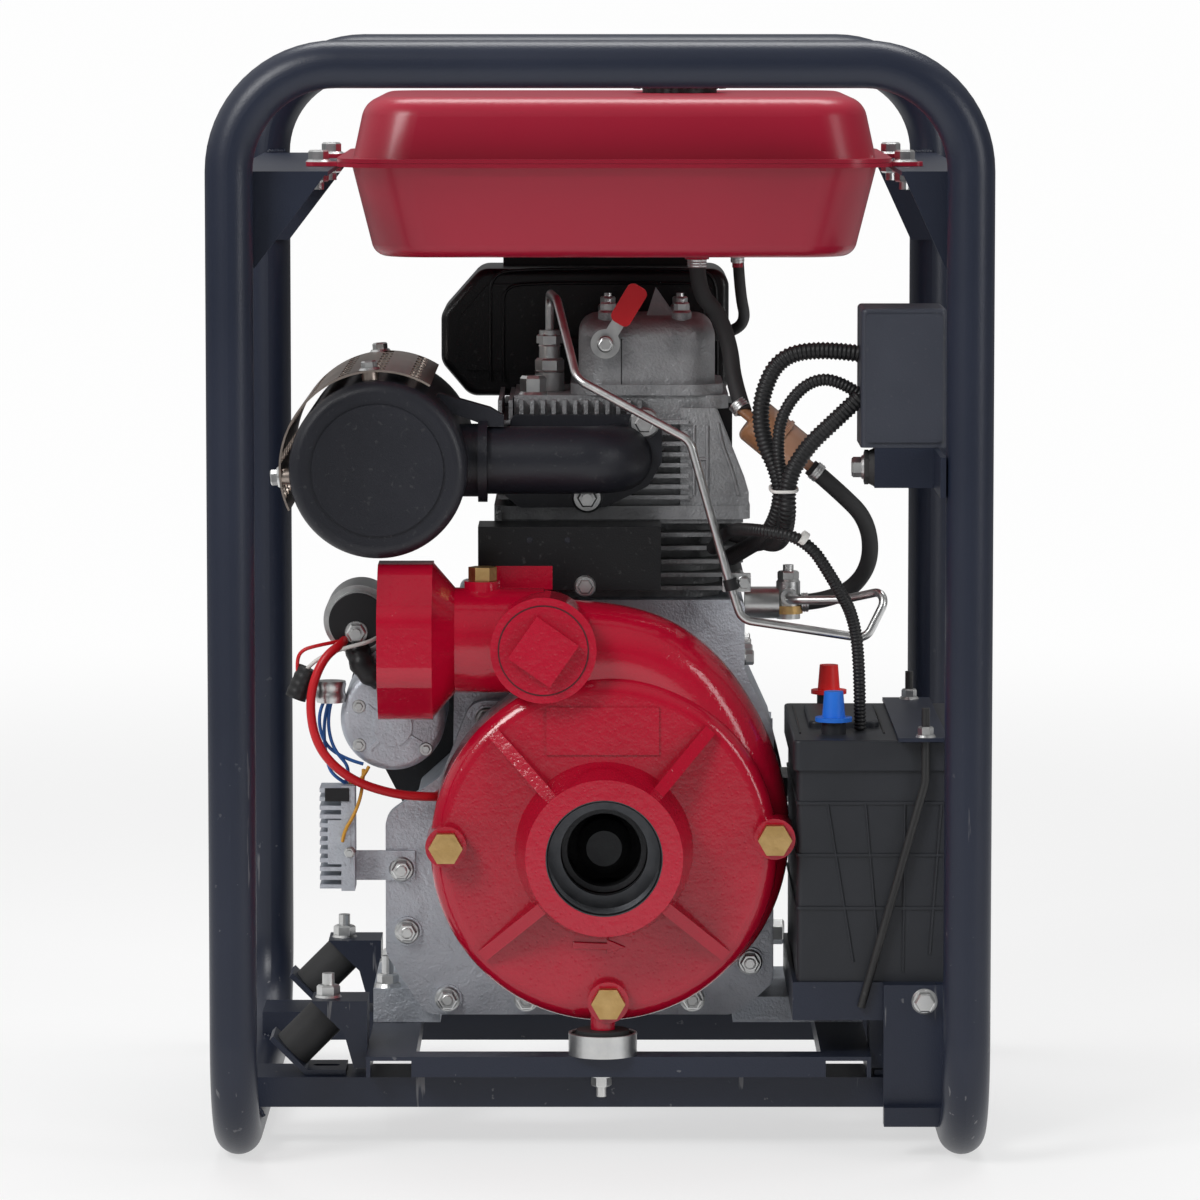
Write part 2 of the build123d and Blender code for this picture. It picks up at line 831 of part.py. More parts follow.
# Silencer: drum with pressed end caps and an inlet stub that meets the elbow
cap_height = 9
cap_rings = [48, 37]
with BuildPart() as silencer:
    round_bar(silencer_x, silencer_z, silencer_radius, silencer_front, silencer_back)
    fillet(silencer.edges().filter_by(GeomType.CIRCLE), cap_height)
    for step, ring in enumerate(cap_rings):
        round_bar(silencer_x, silencer_z, ring, silencer_front - 2 + step * 1, silencer_front)
    side_bar(elbow_y, elbow_z, elbow_radius + 2, silencer_x, elbow_left - seat)
    side_bar(elbow_y, elbow_z, elbow_radius + 6, elbow_left - 7, elbow_left - seat)
    # Strap from the drum to the top of the elbow
    strap_foot = elbow_z + elbow_radius + seat
    outline_bar(
        [
            (silencer_x + 34, silencer_z + 44),
            (silencer_x + 43, silencer_z + 52),
            (elbow_left + 2, strap_foot + 14),
            (elbow_left + 12, strap_foot + 8),
            (elbow_left + 12, strap_foot),
            (elbow_left + 2, strap_foot),
        ],
        elbow_y - 9,
        elbow_y + 9,
    )
write(silencer.part, "silencer")

# Heat shield: slotted half shell round the top and the left of the silencer
shield_gap = 6
shield_thickness = 1.5
shield_front = -158
shield_back = 96
shield_inner = silencer_radius + shield_gap
shield_from = 58
shield_to = 205
slot_rows = 7
slots_in_row = 8
shield_screws = [95, 185]
with BuildPart() as heat_shield:
    with BuildSketch(facing(shield_back, silencer_x, silencer_z)):
        with BuildLine():
            inner = CenterArc((0, 0), shield_inner, shield_from, shield_to - shield_from)
            outer = CenterArc(
                (0, 0), shield_inner + shield_thickness, shield_from, shield_to - shield_from
            )
            Line(inner @ 0, outer @ 0)
            Line(inner @ 1, outer @ 1)
        make_face()
    extrude(amount=shield_back - shield_front)
    row_step = (shield_to - shield_from) / slot_rows
    slot_step = (shield_back - shield_front) / slots_in_row
    for row in range(slot_rows):
        turn = shield_from + (row + 0.5) * row_step
        centre = Plane(
            origin=(silencer_x, 0, silencer_z),
            x_dir=(0, 1, 0),
            z_dir=(cos(radians(turn)), 0, sin(radians(turn))),
        )
        with BuildSketch(centre.offset(shield_inner - 3)):
            for place in range(slots_in_row):
                with Locations((shield_front + (place + 0.5) * slot_step, 0)):
                    SlotOverall(22, 8)
        extrude(amount=8, mode=Mode.SUBTRACT)
    # Raised seats under the screws that hold the shield off the drum
    for turn in shield_screws:
        for y in (shield_front + 8, shield_back - 8):
            stand = Plane(
                origin=(silencer_x, y, silencer_z),
                x_dir=(0, 1, 0),
                z_dir=(cos(radians(turn)), 0, sin(radians(turn))),
            )
            with BuildSketch(stand.offset(silencer_radius + seat)):
                Circle(6)
            extrude(amount=shield_gap + shield_thickness / 2)
write(heat_shield.part, "silencer_heat_shield")

# Engine cowl: black sheet in front of the cylinder, folded back to its fins at the top
cowl_thickness = 2
cowl_front = -111.5
cowl_left = -90
cowl_right = 45
cowl_bottom = 404
cowl_top = 451
with BuildPart() as cowl:
    block((cowl_left, cowl_right), (cowl_front, cowl_front + cowl_thickness), (cowl_bottom, cowl_top))
    block((cowl_left, cowl_right), (cowl_front, barrel_front - seat), (cowl_top - cowl_thickness, cowl_top))
write(cowl.part, "cylinder_cowl")

# Fan housing: cast shroud round the flywheel with a grille cover behind
fan_back = 205
fan_radius = 140
duct_top = 528
starter_x = -154
starter_z = 306
starter_radius = 39
with BuildPart() as fan_housing:
    with BuildSketch(facing(fan_back)):
        with Locations((pump_x, pump_z)):
            Circle(fan_radius)
        with Locations((starter_x + 6, starter_z)):
            Circle(starter_radius + 6)
        make_hull()
        with Locations((barrel_x, (duct_top + pump_z) / 2)):
            Rectangle(barrel_width - 10, duct_top - pump_z)
    extrude(amount=fan_back - crankcase_back - seat)
    fillet(fan_housing.faces().sort_by(Axis.Y)[-1].edges(), 10)
write(fan_housing.part, "fan_housing")

grille_radius = 104
grille_depth = 24
spoke_count = 12
with BuildPart() as fan_cover:
    with BuildSketch(facing(fan_back + seat, pump_x, pump_z)):
        Circle(grille_radius)
    with BuildSketch(facing(fan_back + grille_depth, pump_x, pump_z)):
        Circle(grille_radius - 18)
    loft()
    with BuildSketch(facing(fan_back + grille_depth, pump_x, pump_z)):
        with PolarLocations(62, spoke_count):
            SlotOverall(40, 9)
    extrude(amount=6, mode=Mode.SUBTRACT)
write(fan_cover.part, "fan_cover")

# Starter motor along the crankcase, with its solenoid on top
starter_front = -88
solenoid_x = -180
solenoid_z = 378
solenoid_radius = 26
solenoid_front = -84
with BuildPart() as starter:
    round_bar(starter_x, starter_z, starter_radius, starter_front, 30)
    fillet(starter.faces().sort_by(Axis.Y)[0].edges(), 6)
    round_bar(starter_x, starter_z, 12, starter_front - 2, starter_front)
    round_bar(starter_x, starter_z, starter_radius - 10, 30, crankcase_back)
    with BuildSketch(facing(-20)):
        with Locations((starter_x, starter_z), (solenoid_x, solenoid_z)):
            Circle(10)
        make_hull()
    extrude(amount=60)
    round_bar(solenoid_x, solenoid_z, solenoid_radius + seat, -112, 0, mode=Mode.SUBTRACT)
write(starter.part, "starter_motor")
with BuildPart() as solenoid:
    round_bar(solenoid_x, solenoid_z, solenoid_radius, solenoid_front + 14, -4)
    round_bar(solenoid_x, solenoid_z, solenoid_radius - 4, solenoid_front, solenoid_front + 14)
write(solenoid.part, "starter_solenoid")

# Voltage regulator: finned aluminium block on a bracket screwed to the crankcase cover
regulator_left = -208
regulator_width = 26
regulator_bottom = 179
regulator_height = 78.5
regulator_fins = 12
with BuildPart() as regulator:
    block(
        (regulator_left + 16, regulator_left + regulator_width),
        (-104, -70),
        (regulator_bottom, regulator_bottom + regulator_height),
    )
    for fin in range(regulator_fins):
        middle = regulator_bottom + (fin + 0.5) * regulator_height / regulator_fins
        block((regulator_left, regulator_left + 16), (-104, -70), (middle - 1.5, middle + 1.5))
    block((regulator_left + regulator_width, -138), (cover_front - 3 - seat, cover_front - seat), (184, 206))
write(regulator.part, "voltage_regulator")

# Air cleaner: pressed panel box behind the head, with a sheet standing on it
air_left = -122
air_right = 99
air_bottom = 534
air_top = 632
air_front = barrel_back - 4 + seat
air_back = 206
with BuildPart() as air_cleaner:
    outline_bar(
        [
            (air_left + 22, air_bottom),
            (air_right, air_bottom),
            (air_right, air_top),
            (air_left + 30, air_top),
            (air_left, air_top - 34),
            (air_left, air_bottom + 26),
        ],
        air_front,
        air_back,
        corner=14,
    )
    fillet(air_cleaner.faces().sort_by(Axis.Y)[0].edges(), 6)
    # Pressed panel that stands proud above the head, and the upright sheet
    panel_bottom = head_top + 10
    outline_bar(
        [
            (air_left + 14, panel_bottom),
            (air_right - 12, panel_bottom),
            (air_right - 12, air_top - 12),
            (air_left + 36, air_top - 12),
            (air_left + 14, air_top - 38),
        ],
        air_front - 3,
        air_front + 1,
        corner=8,
    )
    block((-75, 78), (150, 152), (air_top - 1, 642))
write(air_cleaner.part, "air_cleaner")

# Fuel tank: two pressed halves that meet in a flange, with two tabs on each side
tab_ys = [-122, 106]
tab_width = 24
tab_reach = 23
outlet_place = (72, -60)
return_place = (104, 30)
outlet_low = 636


def tank_half(bottom, top, edge, grow):
    """Closed pressed half of the tank whose walls lean, rounded where it ends."""
    with BuildPart() as half:
        with BuildSketch(Plane(origin=(tank_x, tank_y, bottom))):
            RectangleRounded(tank_width - 22 - 2 * grow[0], tank_depth - 22 - 2 * grow[0], 42)
        with BuildSketch(Plane(origin=(tank_x, tank_y, top))):
            RectangleRounded(tank_width - 22 - 2 * grow[1], tank_depth - 22 - 2 * grow[1], 42)
        loft()
        face = half.faces().sort_by(Axis.Z)[0 if grow[0] > grow[1] else -1]
        fillet(face.edges(), edge)
    return half.part


with BuildPart() as tank_lower:
    add(tank_half(tank_bottom_z, tank_flange_z - tank_flange, 12, (16, 0)))
    with BuildSketch(Plane(origin=(tank_x, tank_y, tank_flange_z - tank_flange))):
        RectangleRounded(tank_width, tank_depth, 48)
        for side in (-1, 1):
            for y in tab_ys:
                with Locations((side * (tank_width / 2 + tab_reach / 2 - 4), y - tank_y)):
                    RectangleRounded(tab_reach + 8, tab_width, 6)
    extrude(amount=tank_flange)
    post(*outlet_place, 9, tank_bottom_z - 5, tank_bottom_z + 5)
    post(*outlet_place, 4.5, outlet_low, tank_bottom_z)
    post(*return_place, 4, outlet_low, tank_bottom_z + 5)
write(tank_lower.part, "fuel_tank_lower")
with BuildPart() as tank_upper:
    add(tank_half(tank_flange_z + seat, tank_crown_z, 18, (0, 10)))
    with BuildSketch(Plane(origin=(tank_x, tank_y, tank_flange_z + seat))):
        RectangleRounded(tank_width, tank_depth, 48)
    extrude(amount=tank_flange)
write(tank_upper.part, "fuel_tank_upper")

cap_x = 60
cap_y = 20
cap_radius = 34
with BuildPart() as fuel_cap:
    post(cap_x, cap_y, cap_radius - 6, tank_crown_z + seat, tank_crown_z + 8)
    post(cap_x, cap_y, cap_radius, tank_crown_z + 8, tank_crown_z + 24)
    fillet(fuel_cap.faces().sort_by(Axis.Z)[-1].edges(), 4)
write(fuel_cap.part, "fuel_cap")

# Tank brackets: a shelf between the legs of the hoops with a gusset at each leg
shelf_z = tank_flange_z - tank_flange - seat
bracket_sheet = 3
shelf_edge = 1.5
gusset_low = 648
with BuildPart() as tank_brackets:
    leg_back = hoop_y - tube_d / 2 - seat
    for side in (-1, 1):
        inner = side * tank_x + tank_width / 2 + shelf_edge
        left, right = sorted((side * inner, side * (hoop_x + 2)))
        block((left, right), (-leg_back, leg_back), (shelf_z - bracket_sheet, shelf_z))
        for end in (-1, 1):
            far = end * leg_back
            near = end * (leg_back - bracket_sheet)
            outline_bar(
                [
                    (side * inner, shelf_z),
                    (side * (hoop_x + 2), shelf_z),
                    (side * (hoop_x + 2), gusset_low),
                    (side * (hoop_x - tube_d / 2), gusset_low),
                ],
                min(near, far),
                max(near, far),
            )
write(tank_brackets.part, "tank_brackets")

# Battery: ribbed case with a wider lid, posts and two pull-off caps
battery_right = battery_left + battery_width
battery_back = battery_front + battery_length
lid_z = battery_base + battery_height - lid_height
lid_top = battery_base + battery_height
lid_over = 3
case_rib = 1.2
case_ribs = [179, 218, 256]
with BuildPart() as battery_case:
    rounded_box(
        (battery_left, battery_right),
        (battery_front, battery_back),
        (battery_base, lid_z - seat),
        4,
    )
    for rib_z in case_ribs:
        rounded_box(
            (battery_left - case_rib, battery_right + case_rib),
            (battery_front - case_rib, battery_back + case_rib),
            (rib_z, rib_z + 2),
            4,
        )
write(battery_case.part, "battery_case")
with BuildPart() as battery_lid:
    rounded_box(
        (battery_left - lid_over, battery_right + lid_over),
        (battery_front - lid_over, battery_back + lid_over),
        (lid_z, lid_top),
        5,
        edge=2,
    )
    # Strip over the cells
    rounded_box((154, 206), (battery_front + 76, battery_back - 44), (lid_top - 1, lid_top + 5), 6, edge=2)
    post_places = [(171, -160), (174, 24)]
    post_height = 9
    for post_x, post_y in post_places:
        post(post_x, post_y, 9, lid_top, lid_top + post_height)
write(battery_lid.part, "battery_lid")
cap_names = ["blue_terminal_cap", "red_terminal_cap"]
for (post_x, post_y), name in zip(post_places, cap_names):
    with BuildPart() as terminal_cap:
        base = lid_top + post_height + seat
        post(post_x, post_y, 13.5, base, base + 3)
        with BuildSketch(Plane(origin=(post_x, post_y, base + 3))):
            Circle(8.5)
        with BuildSketch(Plane(origin=(post_x, post_y, base + 22))):
            Circle(7)
        loft()
    write(terminal_cap.part, name)

# Tray under the battery with its posts
tray_bottom = battery_base - tray_wall - seat
tray_lip = 28
tray_left = battery_left - tray_wall - seat
tray_right = battery_right + tray_wall + seat
tray_front = battery_front - tray_wall - seat
tray_back = battery_back + tray_wall + seat
support_left = 206
support_right = hoop_x - tube_d / 2 + 6
support_front = tray_front - 14
with BuildPart() as battery_tray:
    block((tray_left, tray_right), (tray_front, tray_back), (tray_bottom, tray_bottom + tray_lip))
    block(
        (battery_left - seat, battery_right + seat),
        (battery_front - seat, battery_back + seat),
        (tray_bottom + tray_wall, tray_bottom + tray_lip),
        mode=Mode.SUBTRACT,
    )
    # Front support welded to the bend of the hoop's foot, and rear post on the skid
    block((support_left, support_right), (support_front, support_front + 4), (24, tray_bottom + tray_lip))
    block(
        (support_left, support_right - 8),
        (support_front + 4, tray_front),
        (tray_bottom + 6, tray_bottom + tray_lip),
    )
    block((support_left, support_right), (support_front - 12, support_front), (24, 38))
    block((226, 256), (4, 34), (tube_d - 8, tray_bottom))
    add(hoop_tube(-1, tube_d / 2 + seat), mode=Mode.SUBTRACT)
    round_bar(hoop_x, tube_d / 2, tube_d / 2 + seat, 0, 40, mode=Mode.SUBTRACT)
write(battery_tray.part, "battery_tray")

# Battery clamp: strap over the lid and two rods down to the tray
clamp_x = 236
rod_radius = 3
rod_ys = [tray_front - rod_radius - seat, tray_back + rod_radius + seat]
rod_top = lid_top + 24
with BuildPart() as clamp:
    block(
        (clamp_x - 20, clamp_x + 16),
        (rod_ys[0] - 9, rod_ys[1] + 9),
        (lid_top + seat, lid_top + 3),
    )
    for y in rod_ys:
        post(clamp_x, y, rod_radius + seat, lid_top, lid_top + 4, mode=Mode.SUBTRACT)
write(clamp.part, "battery_clamp")
with BuildPart() as clamp_rods:
    add(
        tube_along(
            [
                (190, rod_ys[0], tray_bottom + 10),
                (clamp_x, rod_ys[0], lid_top - 30),
                (clamp_x, rod_ys[0], rod_top),
            ],
            rod_radius,
            [30],
        )
    )
    post(clamp_x, rod_ys[1], rod_radius, tray_bottom + 10, rod_top)
write(clamp_rods.part, "battery_clamp_rods")

# Control box on its square bar, which an arm holds to the right leg
box_left = 189
box_right = 251
box_front = -190
box_back = -112
box_bottom = 515
box_top = 616
bar_size = 29
arm_thickness = 4
leg_inner = hoop_x - tube_d / 2
with BuildPart() as control_box:
    rounded_box((box_left, box_right), (box_front, box_back), (box_bottom, box_top), 4, edge=3)
    # Pressed cover on the front
    with BuildSketch(facing(box_front + 1)):
        with Locations(((box_left + box_right) / 2, (box_bottom + box_top) / 2)):
            RectangleRounded(box_right - box_left - 6, box_top - box_bottom - 8, 4)
    extrude(amount=3)
write(control_box.part, "control_box")
with BuildPart() as box_bracket:
    block(
        (199, leg_inner - arm_thickness - seat),
        (box_front, box_front + bar_size),
        (box_bottom - seat - bar_size, box_bottom - seat),
    )
    block(
        (leg_inner - arm_thickness - seat, leg_inner - seat),
        (-hoop_y - 8, box_front + bar_size),
        (box_bottom - seat - bar_size, box_bottom - seat),
    )
write(box_bracket.part, "control_box_bracket")

# Fuel line: hose from the tank's outlet, filter and the hose to the injection pump
filter_middle = Vector(132, -82, 513)
filter_axis = Vector(58, 0, -48).normalized()
filter_half = 26
filter_reach = 38
filter_radius = 17
hose_radius = 5
filter_start = filter_middle - filter_axis * filter_reach
filter_end = filter_middle + filter_axis * filter_reach
with BuildPart() as fuel_filter:
    with BuildSketch(Plane(origin=filter_middle - filter_axis * filter_half, z_dir=filter_axis)):
        Circle(filter_radius)
    extrude(amount=2 * filter_half)
    fillet(fuel_filter.edges().filter_by(GeomType.CIRCLE), 5)
    with BuildSketch(Plane(origin=filter_start, z_dir=filter_axis)):
        Circle(4)
    extrude(amount=2 * filter_reach)
write(fuel_filter.part, "fuel_filter")

pump_right = 150
injection_z = 388
injection_y = -40
injector_x = -38
injector_y = 4
return_radius = 4
return_y = 90
with BuildPart() as fuel_hoses:
    add(
        tube_along(
            [
                (outlet_place[0], outlet_place[1], outlet_low - seat),
                (outlet_place[0], outlet_place[1], 600),
                filter_start - filter_axis * 28,
                filter_start - filter_axis * seat,
            ],
            hose_radius,
            [26, 22],
        )
    )
    add(
        tube_along(
            [
                filter_end + filter_axis * seat,
                filter_end + filter_axis * 22,
                (192, -66, 432),
                (184, injection_y, injection_z),
                (pump_right + seat, injection_y, injection_z),
            ],
            hose_radius,
            [20, 24, 14],
        )
    )
    # Return hose behind the rocker cover to the injector
    add(
        tube_along(
            [
                (return_place[0], return_place[1], outlet_low - seat),
                (return_place[0], return_place[1], 618),
                (return_place[0] - 6, return_y, 580),
                (injector_x, return_y, 576),
                (injector_x, injector_y + 8 + seat, 576),
            ],
            return_radius,
            [16, 20, 20],
        )
    )
write(fuel_hoses.part, "fuel_hoses")

# Injector on the head and the steel pipe that feeds it
injector_top = 590
pipe_radius = 3.2
with BuildPart() as injection_fittings:
    side_bar(injection_y, injection_z, 12, 108 + seat, 134)
    post(141, injection_y, 9, injection_z - 12, injection_z + 16)
    round_bar(141, injection_z + 6, 6, injection_y - 18, injection_y)
    post(injector_x, injector_y, 11, head_top + seat, head_top + 14)
    post(injector_x, injector_y, 8, head_top + 14, injector_top)
write(injection_fittings.part, "injection_fittings")
with BuildPart() as injection_pipe:
    add(
        tube_along(
            [
                (injector_x, injector_y, injector_top + seat),
                (injector_x, injector_y, 618),
                (-32, -60, 616),
                (-17, -112, 560),
                (66, -130, 516),
                (93, -130, 419),
                (104, -130, 384),
                (196, -130, 370),
                (214, -126, 406),
                (180, -100, 396),
                (141, -86, injection_z + 6),
                (141, injection_y - 18 - seat, injection_z + 6),
            ],
            pipe_radius,
            [10, 14, 14, 14, 14, 12, 10, 9, 12, 12],
        )
    )
write(injection_pipe.part, "injection_pipe")

# Corrugated looms from the control box to the engine and to the battery
loom_radius = 4.5
with BuildPart() as looms:
    add(
        tube_along(
            [
                (box_left - seat, -150, 583),
                (150, -150, 583),
                (122, -142, 545),
                (124, -118, 489),
                (122, -90, 450),
                (100, barrel_front - seat, 424),
            ],
            loom_radius,
            [18, 22, 22, 18],
        )
    )
    add(
        tube_along(
            [
                (box_left - seat, -166, 550),
                (160, -166, 550),
                (140, -164, 515),
                (136, -158, 478),
                (158, -152, 428),
                (182, -148, 392),
                (191, -140, 345),
                (191, -140, lid_top + seat),
            ],
            loom_radius,
            [10, 16, 18, 18, 18, 18],
        )
    )
write(looms.part, "wiring_looms")

# Red starter cable from the solenoid to the crankcase cover
cable_radius = 3.3
with BuildPart() as cable:
    add(
        tube_along(
            [
                (solenoid_x - 10, solenoid_front - seat, solenoid_z - 14),
                (solenoid_x - 10, solenoid_front - 13, solenoid_z - 14),
                (-214, -106, 334),
                (-204, -106, 284),
                (-162, -100, 254),
                (-120, -94, 248),
                (-120, cover_front - seat, 248),
            ],
            cable_radius,
            [6, 14, 18, 18, 5],
        )
    )
write(cable.part, "starter_cable")
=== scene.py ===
import math

import bmesh
import bpy
from mathutils import Matrix, Vector


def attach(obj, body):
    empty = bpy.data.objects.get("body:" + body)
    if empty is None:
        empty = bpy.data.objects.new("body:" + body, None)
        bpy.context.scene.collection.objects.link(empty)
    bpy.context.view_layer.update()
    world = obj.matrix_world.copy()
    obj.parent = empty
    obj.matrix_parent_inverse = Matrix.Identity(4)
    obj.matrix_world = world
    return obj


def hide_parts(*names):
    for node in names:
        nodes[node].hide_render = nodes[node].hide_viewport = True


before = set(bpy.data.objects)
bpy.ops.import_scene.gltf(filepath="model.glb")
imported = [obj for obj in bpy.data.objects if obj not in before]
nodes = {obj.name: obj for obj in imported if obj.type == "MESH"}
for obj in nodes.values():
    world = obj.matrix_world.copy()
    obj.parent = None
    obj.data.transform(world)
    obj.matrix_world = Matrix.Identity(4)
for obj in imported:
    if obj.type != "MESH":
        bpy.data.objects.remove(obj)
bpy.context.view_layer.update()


# Studio: the pump stands on a pale paper sweep that rises far out all round it. A large soft
# lamp hangs at the upper left in front, a weaker one on the right, and a long one over the back.
camera_y, camera_z = -4.817, 0.849
camera_down = 5.49
camera_lens = 192.1


class Wire:
    """An output of a finish or of a shape's node tree. Sums and products add Math nodes."""

    def __init__(self, tree, socket=None):
        self.tree = tree
        self.socket = socket

    def node(self, kind, inputs=None, output=0, **settings):
        made = self.tree.nodes.new(kind)
        for name, value in settings.items():
            if name == "stops":
                ramp = made.color_ramp
                for index, (place, colour) in enumerate(value):
                    stop = ramp.elements[index] if index < 2 else ramp.elements.new(place)
                    stop.position = place
                    stop.color = colour
            else:
                setattr(made, name, value)
        for key, value in (inputs or {}).items():
            if isinstance(value, Wire):
                self.tree.links.new(value.socket, made.inputs[key])
            else:
                made.inputs[key].default_value = value
        return Wire(self.tree, made.outputs[output] if len(made.outputs) else None)

    def math(self, operation, *values, clamp=False):
        inputs = dict(enumerate(values))
        return self.node("ShaderNodeMath", inputs, operation=operation, use_clamp=clamp)

    def __add__(self, other):
        return self.math("ADD", self, other)

    __radd__ = __add__

    def __mul__(self, other):
        return self.math("MULTIPLY", self, other)

    __rmul__ = __mul__

    def __sub__(self, other):
        return self.math("SUBTRACT", self, other)

    def __rsub__(self, other):
        return self.math("SUBTRACT", other, self)

    def over(self, low, high):
        """0 below low, 1 above high and a smooth rise between them."""
        return self.node(
            "ShaderNodeMapRange",
            {"Value": self, "From Min": low, "From Max": high},
            interpolation_type="SMOOTHSTEP",
        )

    def shade(self, dark, light):
        """Colour that goes from dark to light as this value goes from 0 to 1."""
        return self.node("ShaderNodeMix", {0: self, 6: dark, 7: light}, 2, data_type="RGBA")


def sweep_paper():
    """The pale paper: near white, whiter far out, and it still takes the pump's shadow."""
    glow, far_glow, mirror_dim = 0.62, 0.36, 0.85
    near_edge, far_edge = 1.0, 3.6
    paper = bpy.data.materials.new("studio_paper")
    paper.use_nodes = True
    tree = paper.node_tree
    tree.nodes.clear()
    start = Wire(tree)
    path = tree.nodes.new("ShaderNodeLightPath")
    watched = Wire(tree, path.outputs["Is Camera Ray"])
    mirrored = Wire(tree, path.outputs["Is Glossy Ray"])
    seen = watched + mirrored
    seen = seen.math("ADD", seen, Wire(tree, path.outputs["Is Transmission Ray"]), clamp=True)
    grain = start.node("ShaderNodeTexNoise", {"Scale": 3.0, "Detail": 4.0})
    pale = grain.shade((0.84, 0.84, 0.84, 1), (0.87, 0.87, 0.87, 1))
    matt = start.node("ShaderNodeBsdfDiffuse", {"Color": pale})
    lit = start.node("ShaderNodeEmission", {"Color": (1, 1, 1, 1), "Strength": 1.0})
    coordinates = tree.nodes.new("ShaderNodeTexCoord")
    place = Wire(tree, coordinates.outputs["Object"])
    reach = place.node("ShaderNodeVectorMath", {0: place}, "Value", operation="LENGTH")
    far = reach.over(near_edge, far_edge)
    white = seen * glow + watched * far * far_glow
    both = start.node("ShaderNodeMixShader", {0: white, 1: matt, 2: lit})
    dim = start.node("ShaderNodeEmission", {"Color": (0.08, 0.08, 0.085, 1), "Strength": 1.0})
    shown = start.node("ShaderNodeMixShader", {0: mirrored * far * mirror_dim, 1: both, 2: dim})
    start.node("ShaderNodeOutputMaterial", {"Surface": shown})
    return paper


floor_reach, curve_radius, wall_top, sweep_steps = 6.0, 1.0, 1.7, 96
profile = [(0.0, 0.0), (2.0, 0.0), (floor_reach, 0.0)]
for lean in (0.2, 0.45, 0.7, 0.95, 1.2, 1.4):
    out, rise = math.sin(lean), 1.0 - math.cos(lean)
    profile.append((floor_reach + curve_radius * out, curve_radius * rise))
profile += [(floor_reach + curve_radius, curve_radius), (floor_reach + curve_radius, wall_top)]
sweep_corners, sweep_faces = [], []
for step in range(sweep_steps):
    turn = 2 * math.pi * step / sweep_steps
    sweep_corners += [(reach * math.cos(turn), reach * math.sin(turn), z) for reach, z in profile]
    here, there = step * len(profile), (step + 1) % sweep_steps * len(profile)
    sweep_faces += [(here + i, there + i, there + i + 1, here + i + 1) for i in range(len(profile) - 1)]
sweep_mesh = bpy.data.meshes.new("studio_sweep")
sweep_mesh.from_pydata(sweep_corners, [], sweep_faces)
sweep_form = bmesh.new()
sweep_form.from_mesh(sweep_mesh)
bmesh.ops.remove_doubles(sweep_form, verts=sweep_form.verts, dist=0.0001)
sweep_form.to_mesh(sweep_mesh)
sweep_form.free()
for face in sweep_mesh.polygons:
    face.use_smooth = True
sweep_mesh.materials.append(sweep_paper())
studio_sweep = bpy.data.objects.new("studio_sweep", sweep_mesh)
bpy.context.scene.collection.objects.link(studio_sweep)

room = bpy.data.worlds.new("studio_room")
bpy.context.scene.world = room
room.use_nodes = True
room_tree = room.node_tree
room_tree.nodes.clear()
air = Wire(room_tree)
room_path = room_tree.nodes.new("ShaderNodeLightPath")
room_seen = Wire(room_tree, room_path.outputs["Is Camera Ray"])
room_seen = room_seen + Wire(room_tree, room_path.outputs["Is Transmission Ray"])
mirrored = Wire(room_tree, room_path.outputs["Is Glossy Ray"])
towards = air.node("ShaderNodeTexCoord", output="Generated")
height = air.node("ShaderNodeSeparateXYZ", {0: towards}, 2)
depth = air.node("ShaderNodeSeparateXYZ", {0: towards}, 1)
side = air.node("ShaderNodeSeparateXYZ", {0: towards}, 0)
ambient = 0.36
wall = 0.07 + 0.55 * (0.0 - side).over(0.1, 0.85)
wall = wall + 0.3 * height.over(0.2, 0.9) + 0.12 * depth.over(-0.5, 0.5)
strength = ambient + mirrored * (wall - ambient)
strength = strength + room_seen * (1.0 - strength)
background = air.node("ShaderNodeBackground", {"Color": (1, 1, 1, 1), "Strength": strength})
air.node("ShaderNodeOutputWorld", {"Surface": background})


def soft_lamp(name, place, aim, width, height, watts):
    """A rectangular soft box that looks at a point."""
    lamp = bpy.data.lights.new(name, "AREA")
    lamp.shape = "RECTANGLE"
    lamp.size = width
    lamp.size_y = height
    lamp.energy = watts
    holder = bpy.data.objects.new(name, lamp)
    holder.location = place
    holder.rotation_euler = (Vector(aim) - Vector(place)).to_track_quat("-Z", "Y").to_euler()
    bpy.context.scene.collection.objects.link(holder)


lamp_aim = (0, 0, 0.4)
soft_lamp("key_soft_box", (-1.7, -2.3, 2.3), lamp_aim, 1.1, 1.3, 58)
soft_lamp("fill_soft_box", (2.4, -1.9, 1.3), lamp_aim, 0.8, 1.6, 20)
soft_lamp("top_soft_box", (0.1, 0.5, 2.6), lamp_aim, 1.8, 0.7, 34)

lens = bpy.data.cameras.new("front_camera")
lens.lens = camera_lens
camera = bpy.data.objects.new("front_camera", lens)
camera.location = (0, camera_y, camera_z)
camera.rotation_euler = (math.radians(90 - camera_down), 0, 0)
bpy.context.scene.collection.objects.link(camera)
bpy.context.scene.camera = camera
bpy.context.scene.view_settings.view_transform = "Standard"


# Roll frame: bent and welded steel tube with rails across it, in dark satin powder coat. The
# legs and the skids are scuffed where the pump has been set down and dragged.
def new_finish(name, **constants):
    """A surface with its fixed values, and the wire of its place on the object in metres."""
    material = bpy.data.materials.new(name)
    material.use_nodes = True
    tree = material.node_tree
    for key, value in constants.items():
        tree.nodes["Principled BSDF"].inputs[key.replace("_", " ")].default_value = value
    return material, Wire(tree).node("ShaderNodeTexCoord", output="Object")


